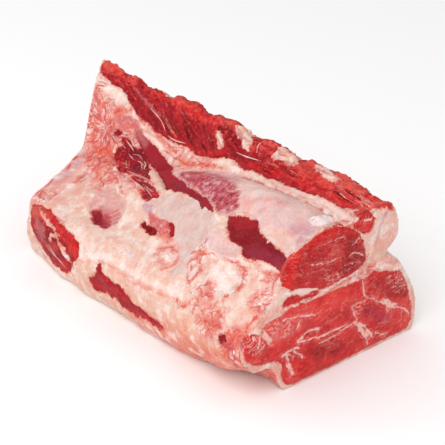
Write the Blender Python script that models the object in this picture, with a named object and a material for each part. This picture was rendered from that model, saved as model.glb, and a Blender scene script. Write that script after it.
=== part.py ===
"""Raw beef shortloin, bone side up: one solid piece of meat, cut flat at both ends.

Sizes are in metres. +X runs along the backbone to the near cut face, -Y is the backbone side,
+Y the flank side and +Z is up. The piece lies on its fat side, on the plane z = 0.
"""

import math

import bmesh
import bpy
from mathutils import Matrix, Vector, geometry, noise

MM = 0.001

# Driving sizes.
LENGTH = 0.363  # from cut face to cut face along the backbone
FAR_SKEW = 0.336  # how far the far cut runs on for each metre across, towards the flank
BACKBONE_Y = -0.100  # the side where the backbone was split off

SPAN_STEPS = 4  # points round the section from one named corner to the next
STATIONS = 48  # sections along the length
CUT_GRID = 0.0075  # distance between the points of a cut face
RIM_GAP = 0.0041  # the least distance from those points to the rim
FOOT_ROUND = 0.020  # how softly the sides turn under

# Named corners of the section, in millimetres across (y) and up (z). The order goes up the backbone
# side, over the fillet to the top of the flank, down the outside and back under the piece.
CORNERS = (
    "foot", "chine_low", "lobe_low", "chine_mid", "chine_top", "valley", "fillet_side",
    "fillet_crest", "fillet_groove", "flank_root", "flank_top", "flank_back", "waist",
    "loin_top", "loin_side", "outer_foot",
)
# The sections are given at shares of the length, from 0 at the far cut to 1 at the near cut.
SECTIONS = {
    0.00: ((-92, 0), (-98, 8), (-101, 22), (-100, 42), (-95, 66), (-68, 70), (-42, 74),
           (-19, 82), (-6, 90), (7, 122), (31, 172), (44, 165), (70, 122),
           (92, 84), (105, 42), (96, 0)),
    0.17: ((-99, 0), (-107, 9), (-108, 24), (-107, 45), (-95, 69), (-66, 72), (-40, 80),
           (-15, 94), (2, 97), (15, 122), (39, 166), (53, 160), (77, 122),
           (97, 84), (108, 42), (99, 0)),
    0.37: ((-95, 0), (-104, 9), (-107, 24), (-107, 46), (-96, 72), (-64, 79), (-42, 92),
           (-10, 114), (10, 112), (25, 128), (50, 162), (64, 156), (83, 122),
           (101, 84), (111, 42), (102, 0)),
    0.56: ((-91, 0), (-100, 9), (-105, 24), (-106, 48), (-96, 75), (-66, 88), (-44, 108),
           (-8, 134), (18, 129), (32, 139), (58, 161), (74, 149), (88, 117),
           (103, 84), (114, 42), (105, 0)),
    0.75: ((-82, 0), (-93, 9), (-102, 24), (-107, 50), (-96, 82), (-66, 103), (-48, 128),
           (-10, 151), (20, 144), (36, 148), (65, 160), (81, 142), (87, 109),
           (103, 84), (115, 42), (108, 0)),
    0.90: ((-53, 0), (-78, 14), (-98, 27), (-108, 54), (-92, 88), (-62, 110), (-50, 136),
           (-12, 156), (19, 149), (38, 151), (71, 159), (86, 132), (78, 105),
           (99, 86), (115, 41), (111, 0)),
    1.00: ((-53, 0), (-70, 30), (-92, 37), (-107, 60), (-84, 90), (-61, 112), (-51, 139),
           (-14, 157), (20, 151), (42, 154), (74, 155), (86, 120), (69, 101),
           (92, 84), (115, 37), (113, 0)),
}

# Vertebrae: knuckles of bone and gristle that show under the fat along the backbone side.
KNUCKLE_XS = [0.118 - 0.060 * i for i in range(6)]
KNUCKLE_YZ = (-0.088, 0.078)
KNUCKLE_RISE = 0.004
KNUCKLE_REACH = 0.020
# The round hollow over the joint nearest the far end.
SOCKET = Vector((-0.125, -0.060, 0.075))
SOCKET_DEPTH = 0.006
SOCKET_REACH = 0.014

LUMP_SIZE = 0.022  # fat lumps on the backbone side
LUMP_RISE = 0.0020
LUMP_EDGE_Y = -0.045  # they fade in from here towards the backbone
LUMP_FADE = 0.030
NICK_SHARES = (0.10, 0.18, 0.25, 0.40, 0.55, 0.71, 0.95)  # nicks torn in the flank's top edge
NICK_WIDTH = 0.022  # as a share of the length
NICK_DEPTH = 0.0060
CRAG_SIZE = 0.012  # crags between the nicks
CRAG_RISE = 0.0032
CRAG_DEPTH = 0.022  # how far down from the top edge the tearing reaches
SKIN_SIZE = 0.045  # slow waves over everything
SKIN_RISE = 0.0020
FLOOR_FADE = 0.012  # height over which rises and dips fade out to the flat underside

# Seams between the muscles on the two cut faces, each a chain of (y, z).
NEAR_SEAMS = (
    ((-0.057, 0.093), (-0.040, 0.090), (-0.015, 0.087), (0.011, 0.091), (0.037, 0.093),
     (0.069, 0.100)),
    ((-0.082, 0.056), (-0.055, 0.057), (-0.017, 0.055), (0.001, 0.051)),
    ((0.028, 0.084), (0.040, 0.066), (0.030, 0.058), (0.036, 0.042), (0.049, 0.023)),
)
FAR_SEAMS = (
    ((-0.062, 0.048), (-0.020, 0.062), (0.020, 0.074), (0.060, 0.104)),
)
SEAM_DEPTH = 0.0020
SEAM_WIDTH = 0.0050
CUT_CROWN = 0.0026  # how far the lean swells out of a cut face
CROWN_REACH = 0.012  # how far in from the rim the swelling is full
CUT_WAVE = 0.0012
CUT_WAVE_SIZE = 0.028


def blend_through(before, start, end, after, part):
    """A point on the Catmull-Rom curve from start to end, at a part of the way from 0 to 1."""
    square = part * part
    cube = square * part
    return tuple(
        0.5 * (2 * b + (c - a) * part + (2 * a - 5 * b + 4 * c - d) * square
               + (3 * b - a - 3 * c + d) * cube)
        for a, b, c, d in zip(before, start, end, after)
    )


def corners_at(share):
    """The named corners (y, z) in metres at a share of the length."""
    keys = sorted(SECTIONS)
    last = len(keys) - 1
    index = max(i for i in range(last) if share >= keys[i] - 1e-9)
    rows = [SECTIONS[keys[min(max(index + k, 0), last)]] for k in (-1, 0, 1, 2)]
    part = (share - keys[index]) / (keys[index + 1] - keys[index])
    return [
        tuple(size * MM for size in blend_through(*(row[i] for row in rows), part))
        for i in range(len(CORNERS))
    ]


def outline_at(share):
    """Points (y, z) round the whole section."""
    corners = corners_at(share)
    count = len(corners)
    points = []
    for i in range(count):
        four = [corners[(i + k) % count] for k in (-1, 0, 1, 2)]
        if CORNERS[i] == "foot":  # the skin leaves the flat underside in a tight curve
            four[0] = (four[1][0] + FOOT_ROUND, 0.0)
        if CORNERS[i] == "loin_side":
            four[3] = (four[2][0] - FOOT_ROUND, 0.0)
        for step in range(SPAN_STEPS):
            part = step / SPAN_STEPS
            if CORNERS[i] == "outer_foot":  # the underside is flat
                points.append(tuple(b + (c - b) * part for b, c in zip(four[1], four[2])))
            else:
                y, z = blend_through(*four, part)
                points.append((y, max(z, 0.0)))
    return points


def gap_to_line(point, line):
    """Distance from (y, z) to a chain of straight pieces."""
    spot = Vector(point)
    gaps = []
    for start, end in zip(line, line[1:]):
        a, b = Vector(start), Vector(end)
        along = min(max((spot - a).dot(b - a) / (b - a).length_squared, 0.0), 1.0)
        gaps.append((spot - a - (b - a) * along).length)
    return min(gaps)


def add_ring(mesh, x, outline):
    """One ring of vertices across the piece. The far end is skewed towards the flank."""
    far = 0.5 - x / LENGTH
    return [
        mesh.verts.new((x - far * FAR_SKEW * (y - BACKBONE_Y), y, z))
        for y, z in outline
    ]


def join_rings(mesh, first, second):
    """A band of faces from one ring to the next."""
    count = len(first)
    for i in range(count):
        j = (i + 1) % count
        mesh.faces.new((first[i], first[j], second[j], second[i]))


def bump(distance, reach):
    """1 at no distance, falling smoothly to 0 at twice the reach."""
    share = min(distance / (2 * reach), 1.0)
    return (1 - share * share) ** 2


def cut_relief(spot, rim_gap, seams):
    """How far a cut face stands out of its plane: lean swells a little, the seams are grooves."""
    inward = min(rim_gap / CROWN_REACH, 1.0)
    wave = CUT_WAVE * noise.noise(Vector((*spot, 0.0)) / CUT_WAVE_SIZE)
    groove = SEAM_DEPTH * max(bump(gap_to_line(spot, seam), SEAM_WIDTH) for seam in seams)
    return (CUT_CROWN + wave - groove) * inward


def add_cut_face(mesh, rim, x, outline, side, seams):
    """Closes one end with an even net of triangles. side is +1 near, -1 far."""
    closed = outline + outline[:1]
    low = [min(p[k] for p in outline) for k in (0, 1)]
    high = [max(p[k] for p in outline) for k in (0, 1)]
    row_step = CUT_GRID * math.sqrt(3) / 2
    inner = []
    for row in range(int((high[1] - low[1]) / row_step) + 1):
        for column in range(int((high[0] - low[0]) / CUT_GRID) + 1):
            spot = (low[0] + (column + row % 2 / 2) * CUT_GRID, low[1] + row * row_step)
            if gap_to_line(spot, closed) > RIM_GAP and is_inside(spot, outline):
                inner.append(spot)
    count = len(outline)
    rim_edges = [(i, (i + 1) % count) for i in range(count)]
    spots = [Vector(p) for p in outline + inner]
    _, _, faces, origins, _, _ = geometry.delaunay_2d_cdt(spots, rim_edges, [], 1, 1e-7)
    verts = list(rim) + add_ring(mesh, x, inner)
    for vert, spot in zip(verts[count:], inner):
        vert.co.x += side * cut_relief(spot, gap_to_line(spot, closed), seams)
    for face in faces:
        corners = [verts[origins[i][0]] for i in face]
        mesh.faces.new(corners if side > 0 else corners[::-1])


def is_inside(spot, outline):
    """Whether (y, z) lies inside a closed outline, by counting the edges to its right."""
    y, z = spot
    inside = False
    for (y1, z1), (y2, z2) in zip(outline, outline[1:] + outline[:1]):
        if (z1 > z) != (z2 > z) and y < y1 + (z - z1) / (z2 - z1) * (y2 - y1):
            inside = not inside
    return inside


def side_relief(co):
    """How far the skin of the piece stands out at a point, before it is cut."""
    rise = SKIN_RISE * noise.noise(co / SKIN_SIZE)
    backbone = min(max((LUMP_EDGE_Y - co.y) / LUMP_FADE, 0.0), 1.0)
    rise += backbone * LUMP_RISE * noise.fractal(co / LUMP_SIZE, 1.0, 2.0, 2)
    for x in KNUCKLE_XS:
        spot = Vector((x, *KNUCKLE_YZ))
        rise += KNUCKLE_RISE * bump((co - spot).length, KNUCKLE_REACH)
    return rise - SOCKET_DEPTH * bump((co - SOCKET).length, SOCKET_REACH)


def torn_edge(co, share):
    """How far the flank's top edge rises or drops: nicks where it was torn, crags between."""
    nick = max(bump(abs(share - at), NICK_WIDTH) for at in NICK_SHARES)
    return CRAG_RISE * noise.fractal(co / CRAG_SIZE, 0.8, 2.0, 3) - NICK_DEPTH * nick


def add_relief(mesh, rings):
    """Moves the skin in and out along its normals. The underside stays flat, with a wavy edge."""
    mesh.normal_update()
    moves = []
    for i, ring in enumerate(rings):
        top = max(vert.co.z for vert in ring)
        for vert in ring:
            move = vert.normal * side_relief(vert.co)
            move.z *= min(vert.co.z / FLOOR_FADE, 1.0)
            high = min(max((vert.co.z - top + CRAG_DEPTH) / CRAG_DEPTH, 0.0), 1.0)
            move.z += high * torn_edge(vert.co, i / STATIONS)
            moves.append((vert, move))
    for vert, move in moves:
        vert.co += move


def meat_material():
    """Raw meat: lean red under a thin coat of fat, damp."""
    material = bpy.data.materials.new("raw_meat")
    material.use_nodes = True
    shader = material.node_tree.nodes["Principled BSDF"]
    shader.inputs["Base Color"].default_value = (0.62, 0.22, 0.18, 1)
    shader.inputs["Roughness"].default_value = 0.42
    shader.inputs["Metallic"].default_value = 0.0
    return material


def stand_on_floor(mesh):
    """Puts the origin under the middle of the piece, on its lowest plane."""
    low = [min(v.co[k] for v in mesh.verts) for k in range(3)]
    high = [max(v.co[k] for v in mesh.verts) for k in range(3)]
    shift = Vector((-(low[0] + high[0]) / 2, -(low[1] + high[1]) / 2, -low[2]))
    bmesh.ops.transform(mesh, matrix=Matrix.Translation(shift), verts=mesh.verts)


def make_shortloin(collection):
    """The whole piece as one closed mesh."""
    mesh = bmesh.new()
    xs = [LENGTH * (i / STATIONS - 0.5) for i in range(STATIONS + 1)]
    outlines = [outline_at(i / STATIONS) for i in range(STATIONS + 1)]
    rings = [add_ring(mesh, x, outline) for x, outline in zip(xs, outlines)]
    for first, second in zip(rings, rings[1:]):
        join_rings(mesh, first, second)
    add_relief(mesh, rings)
    for i, side, seams in ((0, -1, FAR_SEAMS), (-1, 1, NEAR_SEAMS)):
        rim = rings[i]
        add_cut_face(mesh, rim, xs[i], [(v.co.y, v.co.z) for v in rim], side, seams)
    bmesh.ops.recalc_face_normals(mesh, faces=mesh.faces)
    stand_on_floor(mesh)
    data = bpy.data.meshes.new("shortloin")
    mesh.to_mesh(data)
    mesh.free()
    data.shade_smooth()
    data.materials.append(meat_material())
    piece = bpy.data.objects.new("shortloin", data)
    collection.objects.link(piece)
    return piece


def main():
    for old in list(bpy.data.objects):
        bpy.data.objects.remove(old)
    collection = bpy.data.collections.new("beef_shortloin")
    bpy.context.scene.collection.children.link(collection)
    make_shortloin(collection)


main()
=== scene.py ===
import itertools
import math
import random

import bmesh
import bpy
import numpy as np
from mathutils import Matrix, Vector
from mathutils.bvhtree import BVHTree


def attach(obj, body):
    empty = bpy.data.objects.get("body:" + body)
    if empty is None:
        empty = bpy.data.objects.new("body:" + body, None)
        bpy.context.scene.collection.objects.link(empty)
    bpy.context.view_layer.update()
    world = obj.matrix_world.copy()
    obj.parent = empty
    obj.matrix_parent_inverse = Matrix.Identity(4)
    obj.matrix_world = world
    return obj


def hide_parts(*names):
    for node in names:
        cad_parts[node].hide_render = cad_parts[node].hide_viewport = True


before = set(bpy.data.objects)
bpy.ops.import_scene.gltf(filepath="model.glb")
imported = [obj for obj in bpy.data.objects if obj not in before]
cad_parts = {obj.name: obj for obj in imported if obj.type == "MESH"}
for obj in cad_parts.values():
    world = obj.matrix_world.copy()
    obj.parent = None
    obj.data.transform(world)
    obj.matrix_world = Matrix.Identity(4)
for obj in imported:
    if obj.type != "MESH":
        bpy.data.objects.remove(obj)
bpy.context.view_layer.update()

mm = 0.001

# Places on the meat are in millimetres, on four charts:
#   side: x along the piece and v, the height up the backbone side as it faces the camera
#   near and far: y across and z up on the two cut faces
#   back: x along the piece and z up, on the outer fat side
upSide = np.array([0.0, 0.663, 0.749])  # v is measured along this
intoSide = np.array([0.0, 0.749, -0.663])  # straight into the backbone side


def tone(red, green, blue):  # a colour as it looks, 0 to 255, to the renderer's own scale
    return np.array([((c / 255 + 0.055) / 1.055) ** 2.4 for c in (red, green, blue)])


tones = {
    "cream": tone(230, 204, 190), "butter": tone(224, 184, 158), "white": tone(244, 230, 222),
    "peach": tone(230, 158, 130), "pink": tone(222, 164, 156), "rose": tone(196, 116, 118),
    "orange": tone(212, 78, 60), "lilac": tone(196, 154, 168), "silver": tone(214, 206, 198),
    "blue": tone(176, 168, 206), "film": tone(227, 206, 202), "mauve": tone(156, 50, 76),
    "scarlet": tone(212, 34, 32), "lean": tone(168, 22, 34), "deep": tone(132, 10, 22),
    "wine": tone(104, 20, 40), "plum": tone(168, 44, 66),
    "blotch": tone(220, 100, 84), "smooth": tone(156, 24, 40), "bluish": tone(194, 166, 182),
    "fresh": tone(212, 52, 52), "steak": tone(186, 34, 38), "ember": tone(214, 46, 38),
    "flush": tone(230, 146, 128), "raw": tone(216, 112, 100), "marble": tone(236, 184, 174),
    "muscle": tone(160, 22, 40), "gristleAndGlint": tone(255, 252, 250), "veil": tone(208, 154, 150),
    # highlightRed is a light red laid on lean as painted highlight: the flank's top edge, the wall's hip end
    # and the loin's upper side
    "clot": tone(182, 58, 70), "blush": tone(200, 88, 94), "highlightRed": tone(238, 84, 80),
}


# measuring on the charts
def rounded(points, closed=True):  # cuts the corners of an outline
    points = np.array(points, float)
    for _ in range(2):
        ahead = np.roll(points, -1, axis=0)
        pairs = np.stack([0.75 * points + 0.25 * ahead, 0.25 * points + 0.75 * ahead], axis=1)
        if closed:
            points = pairs.reshape(-1, 2)
        else:
            points = np.vstack([points[:1], pairs[:-1].reshape(-1, 2), points[-1:]])
    return points


def gapToChain(spots, chain, closed=False, reach=14.0):  # distance from each spot to a line
    gap = np.full(len(spots), 99.0)
    near = np.all((spots > chain.min(0) - reach) & (spots < chain.max(0) + reach), axis=1)
    some = spots[near]
    best = np.full(len(some), 99.0)
    ends = np.roll(chain, -1, axis=0) if closed else chain[1:]
    for a, b in zip(chain, ends):
        run = b - a
        part = np.clip((some - a) @ run / max(run @ run, 1e-9), 0, 1)
        best = np.minimum(best, np.linalg.norm(some - a - part[:, None] * run, axis=1))
    gap[near] = best
    return gap


def depthIn(spots, outline):  # distance to an outline, above 0 inside it
    gap = gapToChain(spots, outline, closed=True)
    crossings = np.zeros(len(spots), int)
    near = np.all((spots > outline.min(0)) & (spots < outline.max(0)), axis=1)
    some = spots[near]
    count = np.zeros(len(some), int)
    for a, b in zip(outline, np.roll(outline, -1, axis=0)):
        if a[1] == b[1]:
            continue
        spans = (a[1] > some[:, 1]) != (b[1] > some[:, 1])
        count += spans & (some[:, 0] < a[0] + (some[:, 1] - a[1]) * (b[0] - a[0]) / (b[1] - a[1]))
    crossings[near] = count
    return np.where(crossings % 2 == 1, gap, -gap)


def ease(value, low, high):  # 0 below low, 1 above high, smooth between
    share = np.clip((value - low) / (high - low), 0, 1)
    return share * share * (3 - 2 * share)


hashes = np.random.default_rng(11).permutation(256)
slopes = np.random.default_rng(12).normal(size=(256, 3))
slopes /= np.linalg.norm(slopes, axis=1)[:, None]


def latticeNoise(places):  # smooth gradient noise, worked out for all places at once
    cell = np.floor(places).astype(int)
    part = places - cell
    fade = part ** 3 * (part * (part * 6 - 15) + 10)
    total = np.zeros(len(places))
    for corner in itertools.product((0, 1), repeat=3):
        x, y, z = ((cell + corner) & 255).T
        key = hashes[(hashes[(hashes[x] + y) & 255] + z) & 255]
        share = np.prod(np.where(corner, fade, 1 - fade), axis=1)
        total += share * ((part - corner) * slopes[key]).sum(axis=1)
    return 1.5 * total


def ripple(places, size, seed, octaves=2):  # noise of about -1 to 1 at places in millimetres
    places = places / np.array(size, float) + np.array([seed, 1.7 * seed, -seed]) * 3.1
    total = np.zeros(len(places))
    for octave in range(octaves):
        total += latticeNoise(places * 2 ** octave) / 2 ** octave
    return total


def waver(spots, places):  # makes borders drawn on a chart wander like torn edges
    return spots + np.stack([2.0 * ripple(places, 11, wide) + 0.9 * ripple(places, 3.5, narrow)
                             for wide, narrow in ((3, 9), (5, 12))], axis=1)


def stain(colours, weight, name, strength=1.0):  # lays one tone over the colours
    weight = np.clip(weight * strength, 0, 1)[:, None]
    return colours * (1 - weight) + tones[name] * weight


def paintAreas(colours, spots, areas):  # areas: tone, softness, strength, outline
    for name, softness, strength, outline in areas:
        depth = depthIn(spots, rounded(outline))
        colours = stain(colours, ease(depth, -softness, softness), name, strength)
    return colours


def paintLines(colours, spots, lines):  # lines: tone, half width, softness, strength, chain
    for name, width, softness, strength, chain in lines:
        gap = gapToChain(spots, rounded(chain, closed=False))
        colours = stain(colours, 1 - ease(gap, width - softness, width + softness), name, strength)
    return colours


def nearestChain(spots, chains):  # chains: half width, points
    gap = np.full(len(spots), 99.0)
    for width, chain in chains:
        gap = np.minimum(gap, gapToChain(spots, rounded(chain, closed=False)) - width)
    return gap


def deepest(spots, outlines):  # depth inside any of the outlines
    depth = np.full(len(spots), -99.0)
    for outline in outlines:
        depth = np.maximum(depth, depthIn(spots, rounded(outline)))
    return depth


# camera, light and floor
view = {
    "azimuth": 51.2, "elevation": 29.0, "distance": 1.453, "lens": 118.7,
    "target": (0.0555, -0.0023, 0.090),
    "sky": 0.80, "keyPower": 11.0, "keySize": 1.1, "keyPlace": (0.75, -1.0, 1.35),
    "fillPower": 4.0, "fillPlace": (-1.1, -0.9, 1.0),
}


def makeView():
    turn, tilt = math.radians(view["azimuth"]), math.radians(view["elevation"])
    ahead = Vector((-math.sin(turn) * math.cos(tilt), math.cos(turn) * math.cos(tilt), -math.sin(tilt)))
    camera = bpy.data.objects.new("camera", bpy.data.cameras.new("camera"))
    camera.data.lens = view["lens"]
    camera.data.sensor_width = 36
    camera.location = Vector(view["target"]) - ahead * view["distance"]
    camera.rotation_euler = ahead.to_track_quat("-Z", "Y").to_euler()
    bpy.context.scene.collection.objects.link(camera)
    bpy.context.scene.camera = camera
    bpy.context.scene.view_settings.view_transform = "Standard"


def makeLamp(name, place, power, size):
    lamp = bpy.data.objects.new(name, bpy.data.lights.new(name, "AREA"))
    lamp.data.shape = "DISK"
    lamp.data.size = size
    lamp.data.energy = power
    lamp.location = place
    lamp.rotation_euler = (Vector((0, 0, 0.08)) - Vector(place)).to_track_quat("-Z", "Y").to_euler()
    bpy.context.scene.collection.objects.link(lamp)


def makeStudio():
    world = bpy.data.worlds.new("studio")
    world.use_nodes = True
    sky = world.node_tree.nodes["Background"].inputs
    sky["Color"].default_value = (1, 1, 1, 1)
    sky["Strength"].default_value = view["sky"]
    bpy.context.scene.world = world
    makeLamp("keyLight", view["keyPlace"], view["keyPower"], view["keySize"])
    makeLamp("fillLight", view["fillPlace"], view["fillPower"], view["keySize"])
    bm = bmesh.new()
    bmesh.ops.create_grid(bm, x_segments=2, y_segments=2, size=4)
    floor = toObject("floor", bm)
    paint = bpy.data.materials.new("paleFloor")
    paint.use_nodes = True
    shader = paint.node_tree.nodes["Principled BSDF"].inputs
    shader["Base Color"].default_value = (0.98, 0.98, 0.98, 1)
    shader["Roughness"].default_value = 0.9
    floor.data.materials.append(paint)


def toObject(name, bm):
    mesh = bpy.data.meshes.new(name)
    bm.to_mesh(mesh)
    bm.free()
    mesh.shade_smooth()
    piece = bpy.data.objects.new(name, mesh)
    bpy.context.scene.collection.objects.link(piece)
    return piece


# the drawing on the meat
wallLean = [  # the flank's red wall; its outline runs on over the top edge
    (-188, 137), (-171, 133), (-148, 132), (-137, 128), (-129, 122), (-118, 117), (-104, 115), (-91, 112),
    (-67, 110), (-56, 110), (-37, 113), (-13, 111), (2, 115), (18, 122), (30, 126), (48, 121), (63, 124),
    (72, 127), (88, 125), (93, 128), (113, 127), (125, 130), (141, 129), (152, 132), (166, 134), (182, 134),
    (196, 138), (206, 143), (216, 149), (222, 185), (-230, 185), (-215, 150),
]
veiledFillet = [(-3, 81), (-14, 90), (-7, 98), (43, 113), (57, 114), (84, 107), (119, 83), (110, 74),
    (92, 71), (71, 79), (26, 79)]
clearFillet = [(60, 112), (85, 116), (162, 118), (191, 114), (214, 108), (216, 66), (195, 73), (168, 75),
    (136, 86), (118, 84), (106, 94), (88, 103)]
knuckleFilm = [(100, 46), (109, 58), (124, 61), (133, 54), (148, 54), (155, 48), (144, 40), (126, 34),
    (112, 34)]
sideLean = [  # ground tone, calm and outline
    # the groove beside the fillet
    ("smooth", 0.9, [(-113, 104), (-75, 98), (-50, 90), (-15, 82), (25, 79), (68, 78), (91, 70), (80, 66),
        (64, 66), (50, 71), (24, 71), (6, 67), (-6, 65), (-24, 72), (-47, 77), (-76, 80), (-97, 86),
        (-107, 95)]),
    # torn muscle at the groove's far end
    ("muscle", 0.0, [(-129, 72), (-128, 77), (-124, 81), (-129, 86), (-125, 90), (-119, 91), (-110, 92),
        (-104, 90), (-97, 87), (-88, 84), (-78, 80), (-68, 78), (-56, 76), (-50, 73), (-42, 68), (-38, 65),
        (-48, 62), (-60, 62), (-70, 61), (-80, 58), (-88, 55), (-97, 57), (-107, 62), (-120, 64),
        (-127, 67)]),
    ("muscle", 0.0, [(-142, 89), (-137, 93), (-129, 95), (-127, 92), (-131, 88), (-138, 86)]),
    ("muscle", 0.0, [(-74, 57), (-66, 60), (-58, 61.5), (-46, 62), (-37, 62), (-30, 62), (-22, 60),
        (-14, 58), (-4, 55), (-10, 51), (-21, 51), (-29, 52), (-37, 54), (-49, 55), (-60, 55)]),
    # the window beside the fillet
    ("deep", 0.55, [(109, 73), (110, 75), (132, 82), (146, 85), (150, 84), (152, 80), (160, 76), (176, 73),
        (206, 70), (216, 68), (216, 55), (196, 54), (187, 55), (166, 50), (156, 48), (153, 52), (149, 55),
        (135, 54), (129, 58)]),
    # low edge and far corner
    ("lean", 0.3, [(-14, -36), (-9, -31), (-3, -35), (4, -40), (26, -39), (38, -41), (48, -46), (56, -47),
        (77, -47), (97, -50), (93, -53), (70, -55), (58, -54), (44, -57), (29, -57), (21, -53), (11, -55),
        (-2, -56), (-11, -59), (-18, -57), (-27, -52), (-15, -48), (-10, -43)]),
    ("lean", 0.35, [(-146, -24), (-138, -19), (-121, -15), (-100, -18), (-76, -23), (-56, -23), (-43, -29),
        (-40, -41), (-52, -47), (-57, -56), (-66, -64), (-86, -63), (-106, -60), (-126, -51), (-142, -42)]),
    # small holes
    ("muscle", 0.0, [(-41, 53), (-33, 54), (-14, 49), (-17, 46), (-27, 46), (-37, 49)]),
    ("deep", 0.3, [(-5, 28), (6, 27), (22, 28), (27, 25), (28, 20), (20, 18), (13, 19), (6, 22), (-3, 22)]),
    ("lean", 0.3, [(33, 39), (38, 41), (46, 40), (53, 35), (56, 30), (53, 26), (46, 29), (43, 33),
        (37, 36)]),
    ("deep", 0.3, [(181, -25), (185, -20.5), (190, -20), (195, -24), (191, -28), (185, -28.5)]),
    # the core of the joint's disc
    ("smooth", 0.2, [(-74, 5), (-71, 11), (-64, 13), (-51, 9), (-43, 8), (-36, 6), (-35, 1), (-42, -2),
        (-64, 1)]),
]
sideLeanTones = [  # tone, softness, strength, outline
    # the flank's wall
    ("deep", 5, 0.75, [(-156, 131), (-121, 132), (-86, 123), (-46, 127), (-48, 117), (-82, 115),
        (-135, 126)]),
    ("deep", 4, 0.6, [(-60, 130), (-44, 140), (-28, 136), (-26, 122), (-40, 117)]),
    ("deep", 4, 0.8, [(-16, 148), (8, 155), (34, 140), (26, 132), (12, 132)]),
    ("deep", 4, 0.7, [(10, 129), (126, 149), (147, 149), (129, 141), (30, 126)]),
    # window, far corner and disc
    ("mauve", 6, 0.45, [(149, 56), (194, 69), (214, 66), (214, 52), (155, 49)]),
    ("scarlet", 3, 0.85, [(-96, -27), (-80, -23), (-60, -23), (-46, -29), (-38, -39), (-50, -44),
        (-66, -36), (-86, -32)]),
    ("blotch", 3, 0.6, [(-146, -24), (-124, -15), (-104, -18), (-106, -27), (-124, -28), (-140, -34)]),
    ("rose", 2, 0.5, [(-130, -30), (-108, -30), (-104, -44), (-118, -50), (-134, -42)]),
    ("rose", 5, 0.8, [(-118, 108), (-88, 98), (-92, 90), (-114, 98)]),
    # groove and torn muscle
    ("wine", 4, 0.5, [(-10, 74), (30, 78), (70, 74), (62, 68), (25, 72), (-2, 68)]),
    ("lean", 3, 0.8, [(-128, 70), (-124, 80), (-98, 72), (-90, 62), (-106, 62)]),
    ("wine", 1.5, 0.9, [(-108, 83), (-102, 86), (-96, 84), (-92, 80), (-106, 80)]),
    ("wine", 1.5, 0.8, [(-90, 71), (-78, 73), (-62, 71), (-58, 67), (-88, 67)]),
    ("lean", 4, 0.6, [(109, 75), (130, 84), (152, 86), (152, 73), (134, 67), (114, 68)]),
    ("deep", 2, 0.8, [(-142, 91), (-130, 95), (-124, 91), (-133, 86)]),
    ("wine", 3, 0.6, [(-74, 62), (-50, 72), (-60, 74), (-78, 68)]),
    # disc and the wall's hip end
    ("wine", 3, 0.6, [(-74, 6), (-62, 9), (-50, 4), (-44, -2)]),
    ("rose", 3, 0.5, [(-58, 13), (-44, 13), (-34, 6), (-36, 0)]),
    # painted highlight: light red over the wall's hip end, brightening it beyond its shading
    ("highlightRed", 5, 0.6, [(160, 150), (206, 162), (218, 158), (214, 144), (176, 142)]),
    ("fresh", 6, 0.6, [(60, 136), (100, 142), (212, 148), (212, 138), (90, 131)]),
]
sideLeanLines = [  # tone, half width, softness, strength, chain
    # along the torn edge
    ("scarlet", 3.0, 2.5, 0.9, [(-190, 147), (-161, 150), (-79, 147), (-61, 151), (-31, 149)]),
    ("scarlet", 2.5, 2.0, 0.8, [(-25, 150), (2, 155)]), ("scarlet", 2.5, 2.0, 0.8, [(46, 157), (72, 160)]),
    ("scarlet", 3.5, 2.5, 0.8, [(106, 157), (151, 150), (175, 156), (212, 158)]),
    ("scarlet", 3.0, 2.5, 0.8, [(56, 129), (77, 134), (180, 142)]),
    ("scarlet", 2.0, 2.0, 0.7, [(-32, 113), (-14, 114), (2, 119), (17, 128)]),
    # far corner, wall and groove
    ("scarlet", 2.5, 2.0, 0.6, [(-120, -16), (-70, -29), (-48, -38)]),
    ("rose", 1.2, 1.5, 0.7, [(-140, 140), (-88, 128)]),
    ("marble", 0.5, 0.8, 0.9, [(178, 158), (185, 155), (213, 150)]),
    ("scarlet", 2.0, 1.5, 0.9, [(158, 160), (180, 159), (205, 162)]),
    ("wine", 1.2, 1.0, 0.8, [(-100, 87), (-74, 79), (-33, 74.5), (-3, 65.5)]),
]
fatOnLean = [  # lumps and flaps of fat left on the flank's top edge and wall and on other lean
    [(9, 157), (18, 160), (30, 156), (40, 146), (42, 139), (34, 139), (26, 146), (14, 150)],
    [(66, 161), (85, 160), (94, 156), (106, 149), (92, 146), (82, 149), (77, 144), (69, 145), (72, 153)],
    [(115, 161), (130, 163), (146, 160), (157, 158), (161, 153), (150, 150), (136, 154), (122, 156)],
    [(-13, 143), (-5, 144), (4, 139), (13, 132), (9, 127), (2, 133)],
    [(-129, 95.5), (-119, 95.5), (-110, 92.5), (-104, 90.5), (-98, 88), (-103, 85.5), (-111, 87.5),
        (-120, 90.5), (-128, 92)],
    [(-134, -19), (-110, -24), (-86, -31), (-75, -40), (-64, -43), (-52, -53), (-60, -50), (-78, -44),
        (-90, -34), (-112, -28)],
    [(-103, -43), (-88, -32), (-78, -32), (-88, -37), (-98, -46)],
]
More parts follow.
